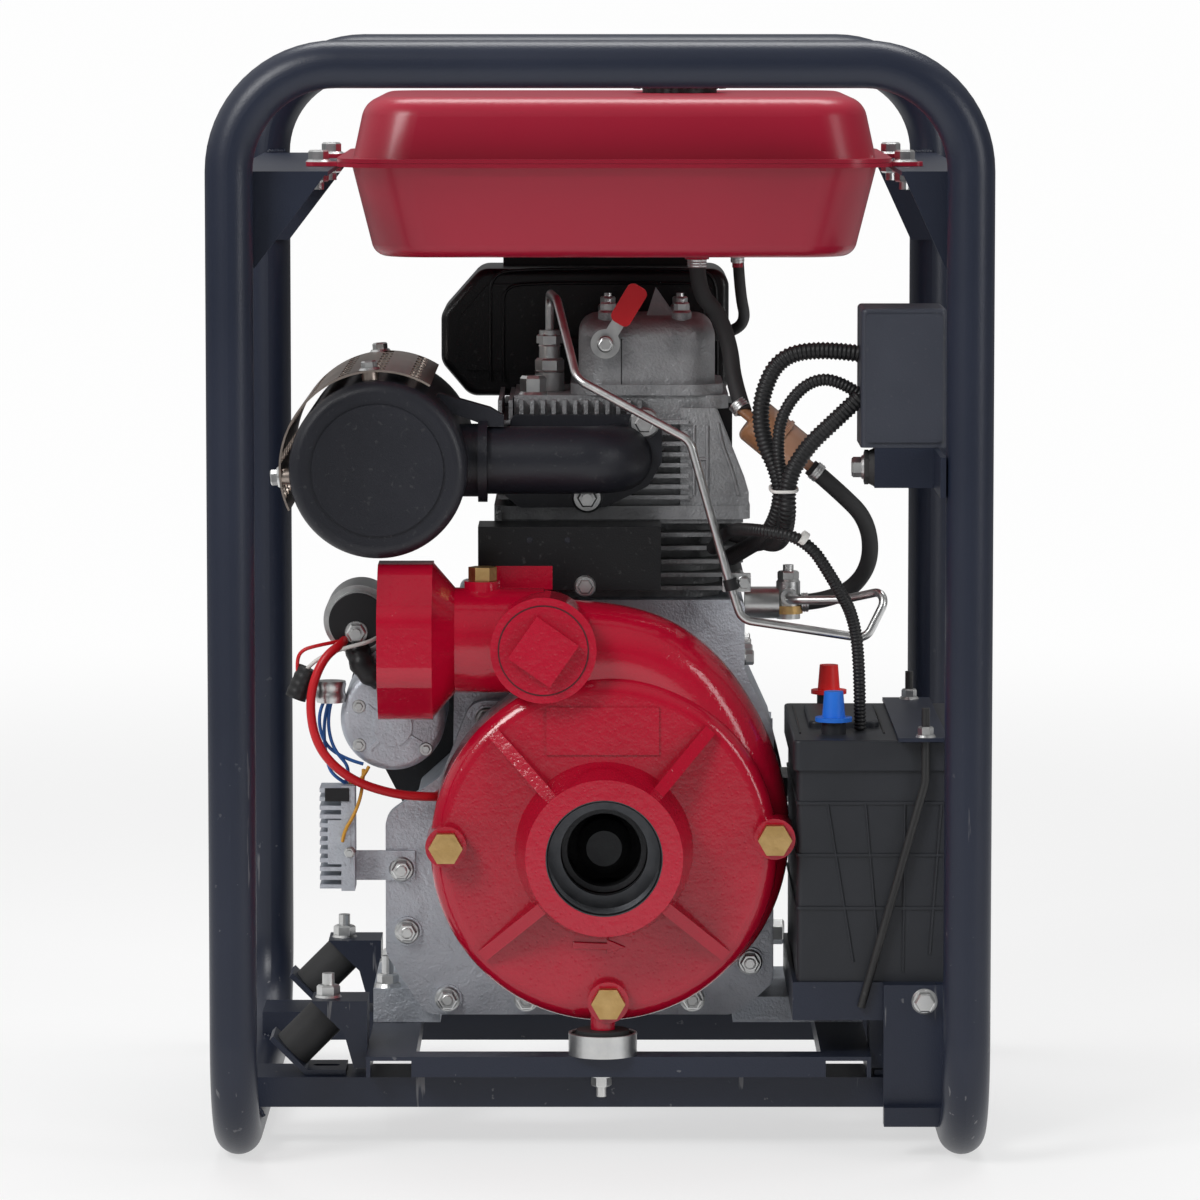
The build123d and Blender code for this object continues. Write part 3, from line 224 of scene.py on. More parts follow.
def speckle(place, scale, detail=2.0, stretch=(1, 1, 1)):
    """Noise with grains of about 1/scale metres, pulled out along an axis where stretch is small."""
    if stretch != (1, 1, 1):
        place = place.node("ShaderNodeMapping", {"Vector": place, "Scale": stretch})
    return place.node("ShaderNodeTexNoise", {"Vector": place, "Scale": scale, "Detail": detail})


def lay_on(material, colour=None, rough=None, metal=None, relief=()):
    """Joins the wires to the surface. Relief is a list of heights in metres and their patterns."""
    tree = material.node_tree
    shader = tree.nodes["Principled BSDF"]
    for socket, wire in (("Base Color", colour), ("Roughness", rough), ("Metallic", metal)):
        if wire is not None:
            tree.links.new(wire.socket, shader.inputs[socket])
    normal = None
    for height, pattern in relief:
        inputs = {"Height": pattern, "Distance": height, "Strength": 1.0}
        if normal is not None:
            inputs["Normal"] = normal
        normal = pattern.node("ShaderNodeBump", inputs)
    if normal is not None:
        tree.links.new(normal.socket, shader.inputs["Normal"])
    return material


def dress(material, *names):
    """Puts a finish on CAD nodes."""
    for name in names:
        nodes[name].data.materials[0] = material


def powder_coat():
    coat, place = new_finish("frame_powder_coat", Specular_IOR_Level=0.42)
    drift = speckle(place, 7.0, 3.0)
    colour = drift.shade((0.010, 0.014, 0.027, 1), (0.016, 0.021, 0.040, 1))
    low = 1.0 - place.node("ShaderNodeSeparateXYZ", {0: place}, 2).over(0.03, 0.45)
    scratch = speckle(place, 170.0, 3.0, (1, 1, 0.09)).over(0.69, 0.74)
    chips = speckle(place, 130.0, 4.0).over(0.70, 0.73)
    scratched, chipped = scratch * low * 0.8, chips * low * 0.6
    worn = low.math("MAXIMUM", scratched, chipped)
    colour = worn.shade(colour, (0.17, 0.17, 0.18, 1))
    rough = 0.31 + 0.10 * drift + 0.2 * worn
    return lay_on(coat, colour, rough, relief=[(0.00012, speckle(place, 700.0))])


frame_coat = powder_coat()
dress(frame_coat, "front_hoop", "rear_hoop", "skids", "cross_rails", "mount_frame")
dress(frame_coat, "engine_mount_plates", "tank_brackets", "battery_tray", "battery_clamp")
dress(frame_coat, "control_box_bracket")


# Fasteners: zinc-plated flange screws, nuts on studs and washers. One pattern makes them all
# from a list of seats; each seat is found on the surface of the piece that carries it.
def zinc_plate():
    plate, place = new_finish("zinc_plate", Metallic=1.0)
    drift = speckle(place, 120.0, 3.0)
    colour = drift.shade((0.52, 0.53, 0.54, 1), (0.76, 0.76, 0.74, 1))
    return lay_on(plate, colour, 0.24 + 0.2 * drift, relief=[(0.00004, speckle(place, 900.0))])


zinc = zinc_plate()


def screw_shape():
    """Shape tree of a hexagon head on a flange, with a stud that stands out of it."""
    tree = bpy.data.node_groups.new("screw_shape", "GeometryNodeTree")
    tree.interface.new_socket("Seats", in_out="INPUT", socket_type="NodeSocketGeometry")
    sizes = ["Across Flats", "Head Height", "Flange Radius", "Flange Height"]
    for size in sizes + ["Stud Radius", "Stud Length"]:
        tree.interface.new_socket(size, in_out="INPUT", socket_type="NodeSocketFloat")
    tree.interface.new_socket("Finish", in_out="INPUT", socket_type="NodeSocketMaterial")
    tree.interface.new_socket("Screws", in_out="OUTPUT", socket_type="NodeSocketGeometry")
    source = tree.nodes.new("NodeGroupInput")
    given = {socket.name: Wire(tree, socket) for socket in source.outputs if socket.name}
    start = Wire(tree)
    flats, head, flange = given["Across Flats"], given["Head Height"], given["Flange Radius"]
    plate, stud, reach = given["Flange Height"], given["Stud Radius"], given["Stud Length"]

    def raised(shape, up):
        offset = start.node("ShaderNodeCombineXYZ", {2: up})
        return start.node("GeometryNodeTransform", {"Geometry": shape, "Translation": offset})

    corner_per_flats, body_share, crown_share = 0.5774, 0.82, 0.18
    crown_taper, flange_taper = 0.84, 0.86
    corner = flats * corner_per_flats
    body = start.node(
        "GeometryNodeMeshCylinder", {"Vertices": 6, "Radius": corner, "Depth": head * body_share}
    )
    crown = start.node(
        "GeometryNodeMeshCone",
        {
            "Vertices": 6,
            "Radius Bottom": corner,
            "Radius Top": corner * crown_taper,
            "Depth": head * crown_share,
        },
    )
    disc = start.node(
        "GeometryNodeMeshCone",
        {"Vertices": 28, "Radius Bottom": flange, "Radius Top": flange * flange_taper, "Depth": plate},
    )
    pin = start.node("GeometryNodeMeshCylinder", {"Vertices": 14, "Radius": stud, "Depth": reach})
    body = raised(body, plate + head * (body_share / 2))
    crown = raised(crown, plate + head * body_share)
    pin = raised(pin, plate + head + reach * 0.5 - 0.0005)
    joined = tree.nodes.new("GeometryNodeJoinGeometry")
    for shape in (pin, disc, crown, body):
        tree.links.new(shape.socket, joined.inputs[0])
    axis = start.node("GeometryNodeInputNamedAttribute", {"Name": "axis"}, data_type="FLOAT_VECTOR")
    aim = start.node("FunctionNodeAlignRotationToVector", {"Vector": axis}, axis="Z")
    placed = start.node(
        "GeometryNodeInstanceOnPoints",
        {"Points": given["Seats"], "Instance": Wire(tree, joined.outputs[0]), "Rotation": aim},
    )
    real = start.node("GeometryNodeRealizeInstances", {"Geometry": placed})
    done = start.node("GeometryNodeSetMaterial", {"Geometry": real, "Material": given["Finish"]})
    start.node("NodeGroupOutput", {0: done})
    return tree


screw_tree = screw_shape()


def seats(node, places, axis):
    """Where a line against the axis from each place, in millimetres, meets a CAD node."""
    found = []
    graph = bpy.context.evaluated_depsgraph_get()
    for place in places:
        hit, point, _, _ = nodes[node].ray_cast(Vector(place) * 0.001, -Vector(axis), depsgraph=graph)
        if not hit:
            raise ValueError(f"no seat on {node} at {place}")
        found.append((point, Vector(axis)))
    return found


def settle(piece, body):
    """Turns a piece with its shape tree into a plain mesh that rides on a body."""
    graph = bpy.context.evaluated_depsgraph_get()
    mesh = bpy.data.meshes.new_from_object(
        piece.evaluated_get(graph), preserve_all_data_layers=True, depsgraph=graph
    )
    piece.modifiers.clear()
    piece.data = mesh
    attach(piece, body)
    return piece


def screws(
    name, places, flats, head, flange, plate=1.6, stud=0.0, reach=0.0,
    body="unit", finish=zinc,
):
    """Screws or nuts of one size, in millimetres, on a list of seats."""
    mesh = bpy.data.meshes.new(name)
    mesh.from_pydata([point for point, _ in places], [], [])
    axes = mesh.attributes.new("axis", "FLOAT_VECTOR", "POINT")
    for index, (_, axis) in enumerate(places):
        axes.data[index].vector = axis
    piece = bpy.data.objects.new(name, mesh)
    bpy.context.scene.collection.objects.link(piece)
    shape = piece.modifiers.new("screws", "NODES")
    shape.node_group = screw_tree
    values = {
        "Across Flats": flats / 1000,
        "Head Height": head / 1000,
        "Flange Radius": flange / 1000,
        "Flange Height": plate / 1000,
        "Stud Radius": max(stud, 0.4) / 1000,
        "Stud Length": max(reach, 0.2) / 1000,
        "Finish": finish,
    }
    for socket in screw_tree.interface.items_tree:
        if socket.in_out == "INPUT" and socket.name in values:
            shape[socket.identifier] = values[socket.name]
    return settle(piece, body)


front, back, up, down = (0, -1, 0), (0, 1, 0), (0, 0, 1), (0, 0, -1)
left, right = (-1, 0, 0), (1, 0, 0)
mount_tops = seats("engine_mount_plates", [(x, y, 200) for x in (-200, 227) for y in (-150, 150)], up)
screws("mount_stud_nuts", mount_tops, 15, 7.5, 10, stud=4.5, reach=9)
feet = seats("crankcase", [(x, y, 300) for x in (-160, 167) for y in (-38, 86)], up)
screws("engine_foot_nuts", feet, 14, 7, 10.5, plate=3, stud=4.5, reach=14)
bar_nut = seats("mount_frame", [(1, -194, 0)], down)
screws("pump_bar_nut", bar_nut, 13, 7, 9, stud=3.8, reach=8)


# Pump: the casing, its plugs and the back plate are iron castings in thick glossy red enamel
# that rounds the edges and lets the cast skin show. The drain plugs are bare turned brass.
def red_enamel():
    enamel, place = new_finish(
        "pump_red_enamel", Coat_Weight=0.35, Coat_Roughness=0.05, Specular_IOR_Level=0.4
    )
    drift = speckle(place, 16.0, 4.0)
    colour = drift.shade((0.35, 0.002, 0.017, 1), (0.45, 0.003, 0.026, 1))
    skin = speckle(place, 120.0, 3.0)
    grain = speckle(place, 420.0, 2.0)
    pits = place.node("ShaderNodeTexVoronoi", {"Vector": place, "Scale": 210.0}).over(0.05, 0.28)
    relief = [(0.00032, skin), (0.00014, grain), (0.0001, pits)]
    return lay_on(enamel, colour, 0.09 + 0.14 * skin, relief=relief)


enamel = red_enamel()
dress(enamel, "pump_casing", "priming_plug", "pump_back_plate")


def turned_brass():
    brass, place = new_finish("turned_brass", Metallic=1.0)
    drift = speckle(place, 90.0, 4.0)
    rings = speckle(place, 260.0, 2.0, (1, 8, 1))
    colour = drift.shade((0.42, 0.25, 0.08, 1), (0.72, 0.50, 0.23, 1))
    return lay_on(brass, colour, 0.30 + 0.2 * drift, relief=[(0.00018, rings), (0.0001, drift)])


brass = turned_brass()
dress(brass, "brass_plugs")


def cast_iron():
    iron, place = new_finish("cast_iron", Metallic=0.7)
    drift = speckle(place, 60.0, 4.0)
    colour = drift.shade((0.030, 0.031, 0.034, 1), (0.075, 0.077, 0.08, 1))
    return lay_on(iron, colour, 0.5 + 0.15 * drift, relief=[(0.0004, speckle(place, 300.0, 3.0))])


iron = cast_iron()
dress(iron, "impeller", "pump_shaft")
dress(zinc, "pump_mount_cup")


def set_down(name, mesh, finish):
    """Gives a finished mesh its surface and fixes it to the unit."""
    mesh.materials.append(finish)
    piece = bpy.data.objects.new(name, mesh)
    bpy.context.scene.collection.objects.link(piece)
    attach(piece, "unit")


def turned_lining(name, mouth, axis, outline, finish):
    """Ring with its own wall, turned about an axis from its mouth, in millimetres.

    The outline gives each corner's radius and depth.
    """
    axis = Vector(axis)
    across = axis.orthogonal().normalized()
    beside = axis.cross(across)
    corners, faces, steps, count = [], [], 96, len(outline)
    for step in range(steps):
        turn = 2 * math.pi * step / steps
        radial = across * math.cos(turn) + beside * math.sin(turn)
        for radius, depth in outline:
            corners.append((Vector(mouth) + axis * depth + radial * radius) * 0.001)
    for step in range(steps):
        here, there = step * count, (step + 1) % steps * count
        for i in range(count):
            k = (i + 1) % count
            faces.append((here + i, here + k, there + k, there + i))
    mesh = bpy.data.meshes.new(name)
    mesh.from_pydata(corners, [], faces)
    form = bmesh.new()
    form.from_mesh(mesh)
    bmesh.ops.recalc_face_normals(form, faces=form.faces)
    form.to_mesh(mesh)
    form.free()
    set_down(name, mesh, finish)


def machined_bore():
    bore, place = new_finish("machined_bore", Metallic=1.0)
    drift = speckle(place, 70.0, 4.0)
    colour = drift.shade((0.045, 0.048, 0.055, 1), (0.16, 0.165, 0.175, 1))
    return lay_on(bore, colour, 0.30 + 0.25 * drift, relief=[(0.00008, speckle(place, 500.0))])


machined_iron = machined_bore()
pump_x, pump_z, suction_y = 3, 221, -235
outlet_x, outlet_y, outlet_z = -162, -149, 371
bore_radius, bore_depth, thread_pitch, thread_height, thread_turns = 42.3, 33.6, 2.31, 1.2, 13
thread_root, thread_start = bore_radius - 0.5, bore_depth - 1.6
threads = []
for turn in range(thread_turns):
    threads.append((thread_root, thread_start - turn * thread_pitch))
    threads.append((thread_root - thread_height, thread_start - (turn + 0.5) * thread_pitch))
for name, mouth, axis, hole, hole_depth in (
    ("suction_bore_thread", (pump_x, suction_y, pump_z), back, 32.3, 44.0),
    ("discharge_bore_thread", (outlet_x, outlet_y, outlet_z), right, 31.3, 60.0),
):
    step_back, step_face = bore_depth + 0.2, bore_depth - 0.4
    outline = [(bore_radius, 0.2), (bore_radius, step_back), (hole, step_back), (hole, hole_depth)]
    outline += [(hole - 0.6, hole_depth), (hole - 0.6, step_face), (bore_radius - 1.2, step_face)]
    outline += threads + [(bore_radius - 0.6, 0.2)]
    turned_lining(name, mouth, axis, outline, machined_iron)


def raised_outline(name, outline, seat_y, proud, finish):
    """Flat shape that stands proud of an upright face that looks to the front, in millimetres."""
    mesh = bpy.data.meshes.new(name)
    count = len(outline)
    corners = [(x / 1000, y / 1000, z / 1000) for y in (seat_y, seat_y - proud) for x, z in outline]
    sides = [(i, (i + 1) % count, (i + 1) % count + count, i + count) for i in range(count)]
    mesh.from_pydata(corners, [], sides + [tuple(range(count)), tuple(range(count, 2 * count))])
    form = bmesh.new()
    form.from_mesh(mesh)
    bmesh.ops.recalc_face_normals(form, faces=form.faces)
    bmesh.ops.bevel(
        form, geom=form.edges[:], offset=proud * 0.0003, segments=2, affect="EDGES", profile=0.5
    )
    form.to_mesh(mesh)
    form.free()
    set_down(name, mesh, finish)


casing_face, cowl_face = -190.0, -111.5
arrow = [(-20, 154), (5, 153), (5, 156), (19, 150), (5, 145), (5, 148), (-20, 149)]
raised_outline("flow_arrow", arrow, casing_face, 2.2, enamel)
plate_corners = [(-77, 404.5), (-35, 404.5), (-35, 422), (-77, 422)]
raised_outline("bare_plate", plate_corners, cowl_face, 0.7, enamel)


# Painted shade: a dark red-black ring round the priming plug stands for the shade in the gap between
# the plug and its boss.
def plug_gap_shade():
    gap_shade, place = new_finish("plug_gap_shade")
    drift = speckle(place, 60.0)
    colour = drift.shade((0.03, 0.001, 0.003, 1), (0.06, 0.002, 0.006, 1))
    return lay_on(gap_shade, colour, 0.5 + 0.2 * drift)


plug_ring = [(31.8, -0.5), (33.0, -0.5), (33.0, 0.6), (31.8, 0.6)]
plug_face = (-41, -207, 369)
turned_lining("priming_plug_gap_shade", plug_face, back, plug_ring, plug_gap_shade())


def moulded_rubber():
    rubber, place = new_finish("moulded_rubber")
    drift = speckle(place, 45.0, 3.0)
    colour = drift.shade((0.012, 0.012, 0.013, 1), (0.030, 0.030, 0.031, 1))
    return lay_on(rubber, colour, 0.62 + 0.16 * drift, relief=[(0.0001, speckle(place, 600.0))])


rubber = moulded_rubber()
dress(rubber, "engine_mount_rubbers", "pump_mount_rubber", "fuel_hoses")


# Engine: the crankcase, cover, head and rocker cover are aluminium castings left bare, and the
# barrel is a ribbed iron casting in dark silver paint, darkened further with painted shade for the
# gaps between its fins. Flange screws hold the covers.
def bare_casting(name, low, high, stained):
    casting, place = new_finish(name)
    drift = speckle(place, 14.0, 5.0)
    stain = speckle(place, 42.0, 4.0).over(0.45, 0.8)
    colour = drift.shade(low, high)
    colour = (stain * 0.5).shade(colour, stained)
    skin = speckle(place, 520.0, 3.0)
    rough = 0.36 + 0.2 * drift
    metal = 0.5 + 0.25 * skin
    relief = [(0.0006, skin), (0.0009, speckle(place, 90.0, 2.0))]
    return lay_on(casting, colour, rough, metal, relief)


pale_casting = bare_casting(
    "pale_casting", (0.44, 0.47, 0.52, 1), (0.66, 0.69, 0.74, 1), (0.30, 0.32, 0.36, 1)
)
casting = bare_casting(
    "grey_casting", (0.24, 0.245, 0.255, 1), (0.46, 0.465, 0.475, 1), (0.13, 0.135, 0.14, 1)
)
# Painted shade: the barrel gets a darker copy of the casting, its own darker paint together with shade
# painted in for the gaps between its fins.
dark_casting_and_shade = bare_casting(
    "dark_casting_and_shade", (0.12, 0.125, 0.13, 1), (0.30, 0.305, 0.31, 1), (0.05, 0.052, 0.055, 1)
)
dress(pale_casting, "crankcase", "crankcase_cover", "voltage_regulator", "starter_motor")
dress(casting, "cylinder_head", "rocker_cover")
dress(dark_casting_and_shade, "cylinder_barrel")
ahead = -300
bosses = [(-114, 94), (-55, 94), (69, 94), (112, 122), (112, 240), (84, 304), (-84, 304), (-144, 145)]
cover_screws = seats("crankcase_cover", [(x, ahead, z) for x, z in bosses], front)
cover_screws += seats("voltage_regulator", [(-148, ahead, 192)], front)
screws("cover_screws", cover_screws, 13, 7, 9.5)
head_height = 0.0086
crowns = [(point + axis * head_height, axis) for point, axis in cover_screws]
screws("cover_screw_dowels", crowns, 7, 0.6, 4.4, 0.3)
rocker_tops = seats("rocker_cover", [(x, y, 700) for x in (6, 61) for y in (-31, 63)], up)
screws("rocker_cover_nuts", rocker_tops, 10, 6, 7.5, stud=3, reach=3)
head_nuts = seats("cylinder_head", [(x, y, 480) for x in (-71.5, 92) for y in (-34, 62)], up)
screws("head_stud_nuts", head_nuts, 12, 8, 7.2, plate=1.2, stud=4, reach=6)


lever_pin = seats("decompression_lever", [(4, ahead, 583)], front)
screws("lever_pin_cap", lever_pin, 9, 1.6, 6.2, plate=1.0, body="lever")
plate_screws = [(x, ahead, z) for x, z in ((-179.2, 315), (-129.5, 283), (-179, 286))]
screws("starter_plate_screws", seats("starter_motor", plate_screws, front), 5.5, 2.4, 5.2, plate=0.8)
terminal = seats("starter_solenoid", [(-181, ahead, 370)], front)
screws("solenoid_nut", terminal, 13, 5, 9.5, plate=2.0, stud=3.6, reach=6)


def moulded_plastic(name, low, high, rough, grain=0.00008):
    plastic, place = new_finish(name, Specular_IOR_Level=0.36)
    drift = speckle(place, 25.0, 3.0)
    colour = drift.shade(low, high)
    return lay_on(plastic, colour, rough + 0.12 * drift, relief=[(grain, speckle(place, 900.0))])


black_cap = moulded_plastic(
    "black_moulding", (0.008, 0.008, 0.009, 1), (0.016, 0.016, 0.018, 1), 0.34
)


def ring_outline(x, z, radius, count=40):
    """Corners of a disc's edge."""
    angles = [2 * math.pi * i / count for i in range(count)]
    return [(x + radius * math.cos(angle), z + radius * math.sin(angle)) for angle in angles]


def bar_outline(x, z, turn, start, end, width):
    """Long narrow shape that runs out from a middle at an angle."""
    along = Vector((math.cos(math.radians(turn)), math.sin(math.radians(turn))))
    beside = Vector((-along.y, along.x)) * width / 2
    middle = Vector((x, z))
    corners = [middle + along * start + beside, middle + along * start - beside]
    corners += [middle + along * end - beside, middle + along * end + beside]
    return [tuple(corner) for corner in corners]


def depth_of(node, x, z):
    """How far forward the front of a CAD node is at a place, in millimetres."""
    return seats(node, [(x, ahead, z)], front)[0][0].y * 1000


hub_x, hub_z = -154, 300
starter_face = depth_of("starter_motor", hub_x, hub_z - 10)
hub = ring_outline(hub_x, hub_z, 14.8)
raised_outline("starter_hub", hub, starter_face, 1.6, pale_casting)
for index, turn in enumerate((140, 225, 330)):
    rib = bar_outline(hub_x, hub_z, turn, 14, 25, 3)
    raised_outline(f"starter_rib_{index}", rib, starter_face, 1.2, pale_casting)
cap_face = depth_of("starter_solenoid", -188, 372)
cap_disc = ring_outline(-180, 378, 21.5)
raised_outline("solenoid_cap", cap_disc, cap_face, 1.4, black_cap)
regulator_face = depth_of("voltage_regulator", -184, 218)
middle_plate = [(-202, 199), (-185, 199), (-185, 232), (-202, 232)]
raised_outline("regulator_plate", middle_plate, regulator_face, 0.6, pale_casting)
plug_block = [(-204, 246), (-186, 246), (-186, 256), (-204, 256)]
raised_outline("regulator_plug", plug_block, regulator_face, 1.6, black_cap)
bolt_seat = seats("voltage_regulator", [(-186, ahead, 208)], front)
screws("regulator_bolt", bolt_seat, 7, 3, 4.6, plate=0.8, stud=2, reach=3)


injector_hex = [(Vector((-0.038, 0.004, z)), Vector(up)) for z in (0.559, 0.578)]
screws("injector_hex", injector_hex[:1], 19, 9, 11.4, plate=1)
screws("injector_union", injector_hex[1:], 17, 7, 8.6, plate=2)
head_plug = seats("cylinder_head", [(-50, -34, 700)], up)
screws("head_plug", head_plug, 17, 12, 11, plate=2)
union_seat = seats("injection_fittings", [(141, -40, 500)], up)
screws("pump_union_nut", union_seat, 14, 6, 8.8, plate=2, stud=4, reach=5)


# Exhaust: cast elbow, drum silencer and sheet cowl in heat-proof matt black, with a slotted
# heat shield of bare steel that has taken a straw tint, screwed on raised seats.
def stove_black(name, low, high, rough):
    black, place = new_finish(name, Specular_IOR_Level=0.4)
    drift = speckle(place, 20.0, 3.0)
    colour = drift.shade(low, high)
    dust = speckle(place, 240.0, 3.0).over(0.62, 0.75)
    colour = (dust * 0.25).shade(colour, (0.10, 0.10, 0.10, 1))
    return lay_on(black, colour, rough + 0.12 * drift, relief=[(0.00016, speckle(place, 800.0))])


stove = stove_black("stove_black", (0.010, 0.011, 0.016, 1), (0.017, 0.018, 0.025, 1), 0.34)
dress(stove, "silencer", "exhaust_elbow")
sheet = stove_black("sheet_black", (0.0035, 0.0035, 0.0045, 1), (0.007, 0.007, 0.008, 1), 0.24)
dress(sheet, "air_cleaner", "fan_housing", "fan_cover", "cylinder_cowl")
slate = stove_black("slate_powder_coat", (0.034, 0.038, 0.052, 1), (0.046, 0.051, 0.068, 1), 0.36)
dress(slate, "control_box")


def tinted_steel():
    steel, place = new_finish("tinted_steel", Metallic=1.0)
    drift = speckle(place, 18.0, 3.0)
    brush = speckle(place, 160.0, 2.0, (1, 0.05, 1))
    colour = drift.shade((0.36, 0.30, 0.26, 1), (0.62, 0.54, 0.48, 1))
    return lay_on(steel, colour, 0.26 + 0.2 * brush, relief=[(0.00004, brush)])


dress(tinted_steel(), "silencer_heat_shield")
drum_x, drum_z, shield_out = -162, 497, 72.5
shield_seats = []
for turn in (95, 185):
    radial = Vector((math.cos(math.radians(turn)), 0, math.sin(math.radians(turn))))
    for y in (-150, 88):
        seat = Vector((drum_x, y, drum_z)) * 0.001 + radial * shield_out * 0.001
        shield_seats.append((seat, radial))
screws("shield_screws", shield_seats, 10, 5, 8)
elbow_nuts = seats("exhaust_elbow", [(33, ahead, 525), (-9.5, -80, 469.5)], front)
screws("elbow_nuts", elbow_nuts, 13, 7, 11.5, plate=2.4, stud=3.9, reach=7)
# Painted shade: two small dark discs on the cowl stand for the shade inside two holes in it.
cowl_holes = seats("cylinder_cowl", [(x, ahead, 441) for x in (-52, -24)], front)
screws("cowl_hole_shade_discs", cowl_holes, 3.4, 0.4, 2.4, plate=0.4, finish=stove)
cowl_screw = seats("cylinder_cowl", [(-11, ahead, 407)], front)
screws("cowl_screw", cowl_screw, 10, 5, 8)


# Fuel tank: two pressed steel halves welded along a flange, in satin crimson, screwed through
# four tabs to the shelves of the frame. The cap is black plastic.
def crimson_paint():
    paint, place = new_finish(
        "tank_crimson", Coat_Weight=0.2, Coat_Roughness=0.22, Specular_IOR_Level=0.35
    )
    drift = speckle(place, 4.0, 3.0)
    colour = drift.shade((0.30, 0.006, 0.024, 1), (0.38, 0.009, 0.034, 1))
    dents, peel = speckle(place, 11.0, 2.0), speckle(place, 330.0, 2.0)
    return lay_on(paint, colour, 0.30 + 0.08 * drift, relief=[(0.0012, dents), (0.00005, peel)])


dress(crimson_paint(), "fuel_tank_lower", "fuel_tank_upper")
tab_places = [(x, y, 800) for x in (-206, 223) for y in (-122, 106)]
screws("tank_tab_screws", seats("fuel_tank_lower", tab_places, up), 13, 7, 9.5)
under = [(x, y, 600) for x, y, _ in tab_places]
screws("tank_tab_nuts", seats("tank_brackets", under, down), 13, 7, 9.5, stud=3.9, reach=6)


black_plastic = moulded_plastic("black_plastic", (0.010, 0.010, 0.011, 1), (0.02, 0.02, 0.021, 1), 0.38)
dress(black_plastic, "fuel_cap", "wiring_looms")


# Battery: charcoal polypropylene case and lid, with soft plastic caps on the posts, red and
# blue. Plated rods with nuts pull the clamp strap down on the lid.
charcoal = moulded_plastic("battery_charcoal", (0.017, 0.019, 0.023, 1), (0.026, 0.028, 0.034, 1), 0.38)
dress(charcoal, "battery_case", "battery_lid")
cap_red = moulded_plastic("cap_red", (0.78, 0.014, 0.016, 1), (0.92, 0.026, 0.024, 1), 0.34)
dress(cap_red, "red_terminal_cap")
cap_blue = moulded_plastic("cap_blue", (0.01, 0.13, 0.62, 1), (0.02, 0.20, 0.80, 1), 0.34)
dress(cap_blue, "blue_terminal_cap")
rod_black = stove_black("rod_black", (0.014, 0.014, 0.015, 1), (0.03, 0.03, 0.03, 1), 0.4)
dress(rod_black, "battery_clamp_rods")
rod_x = 0.236
strap_tops = seats("battery_clamp", [(229, -206.4, 400), (229, 44.4, 400)], up)
strap_tops = [(Vector((rod_x, point.y, point.z)), axis) for point, axis in strap_tops]
screws("strap_nuts", strap_tops, 10, 6, 7.5)
screws("tray_screw", seats("battery_tray", [(235.6, -400, 114)], front), 13, 7, 9.5)


# Control box bar: its free end carries a rubber bush under a flange screw, which clamps it
# against the bar's end face.
bush_height = 0.0072
bar_end = seats("control_box_bracket", [(100, -175.5, 500)], left)
screws("box_bar_bush", bar_end, 22, 3.5, 14, plate=4, finish=rubber)
bush_end = [(point + axis * bush_height, axis) for point, axis in bar_end]
screws("box_bar_screw", bush_end, 13, 7, 9.5, plate=2)


# Wiring: corrugated split looms and plain insulated leads, clipped and tied along their way.
# Each is one pattern drawn along a smooth line from the piece it leaves to the piece it enters.
def tube_shape():
    """Shape tree of a round tube along a line, with rings round it where it is corrugated."""
    steps_per_ring, quarter_turn, sides = 4, 1.5708, 16
    tree = bpy.data.node_groups.new("tube_shape", "GeometryNodeTree")
    tree.interface.new_socket("Line", in_out="INPUT", socket_type="NodeSocketGeometry")
    for size in ("Radius", "Ring Pitch", "Ring Depth"):
        tree.interface.new_socket(size, in_out="INPUT", socket_type="NodeSocketFloat")
    tree.interface.new_socket("Finish", in_out="INPUT", socket_type="NodeSocketMaterial")
    tree.interface.new_socket("Tube", in_out="OUTPUT", socket_type="NodeSocketGeometry")
    source = tree.nodes.new("NodeGroupInput")
    given = {socket.name: Wire(tree, socket) for socket in source.outputs if socket.name}
    start = Wire(tree)
    step = given["Ring Pitch"] * (1 / steps_per_ring)
    fine = tree.nodes.new("GeometryNodeResampleCurve")
    fine.mode = "LENGTH"
    tree.links.new(given["Line"].socket, fine.inputs["Curve"])
    tree.links.new(step.socket, fine.inputs["Length"])
    index = start.node("GeometryNodeInputIndex")
    swell = 1.0 + given["Ring Depth"] * index.math("SINE", index * quarter_turn)
    swollen = start.node(
        "GeometryNodeSetCurveRadius", {"Curve": Wire(tree, fine.outputs[0]), "Radius": swell}
    )
    ring = start.node(
        "GeometryNodeCurvePrimitiveCircle", {"Resolution": sides, "Radius": given["Radius"]}
    )
    sweep = tree.nodes.new("GeometryNodeCurveToMesh")
    tree.links.new(swollen.socket, sweep.inputs["Curve"])
    tree.links.new(ring.socket, sweep.inputs["Profile Curve"])
    sweep.inputs["Fill Caps"].default_value = True
    if "Scale" in sweep.inputs:
        tree.links.new(swell.socket, sweep.inputs["Scale"])
    smooth = start.node("GeometryNodeSetShadeSmooth", {0: Wire(tree, sweep.outputs[0])})
    real = start.node("GeometryNodeRealizeInstances", {"Geometry": smooth})
    done = start.node("GeometryNodeSetMaterial", {"Geometry": real, "Material": given["Finish"]})
    start.node("NodeGroupOutput", {0: done})
    return tree


tube_tree = tube_shape()


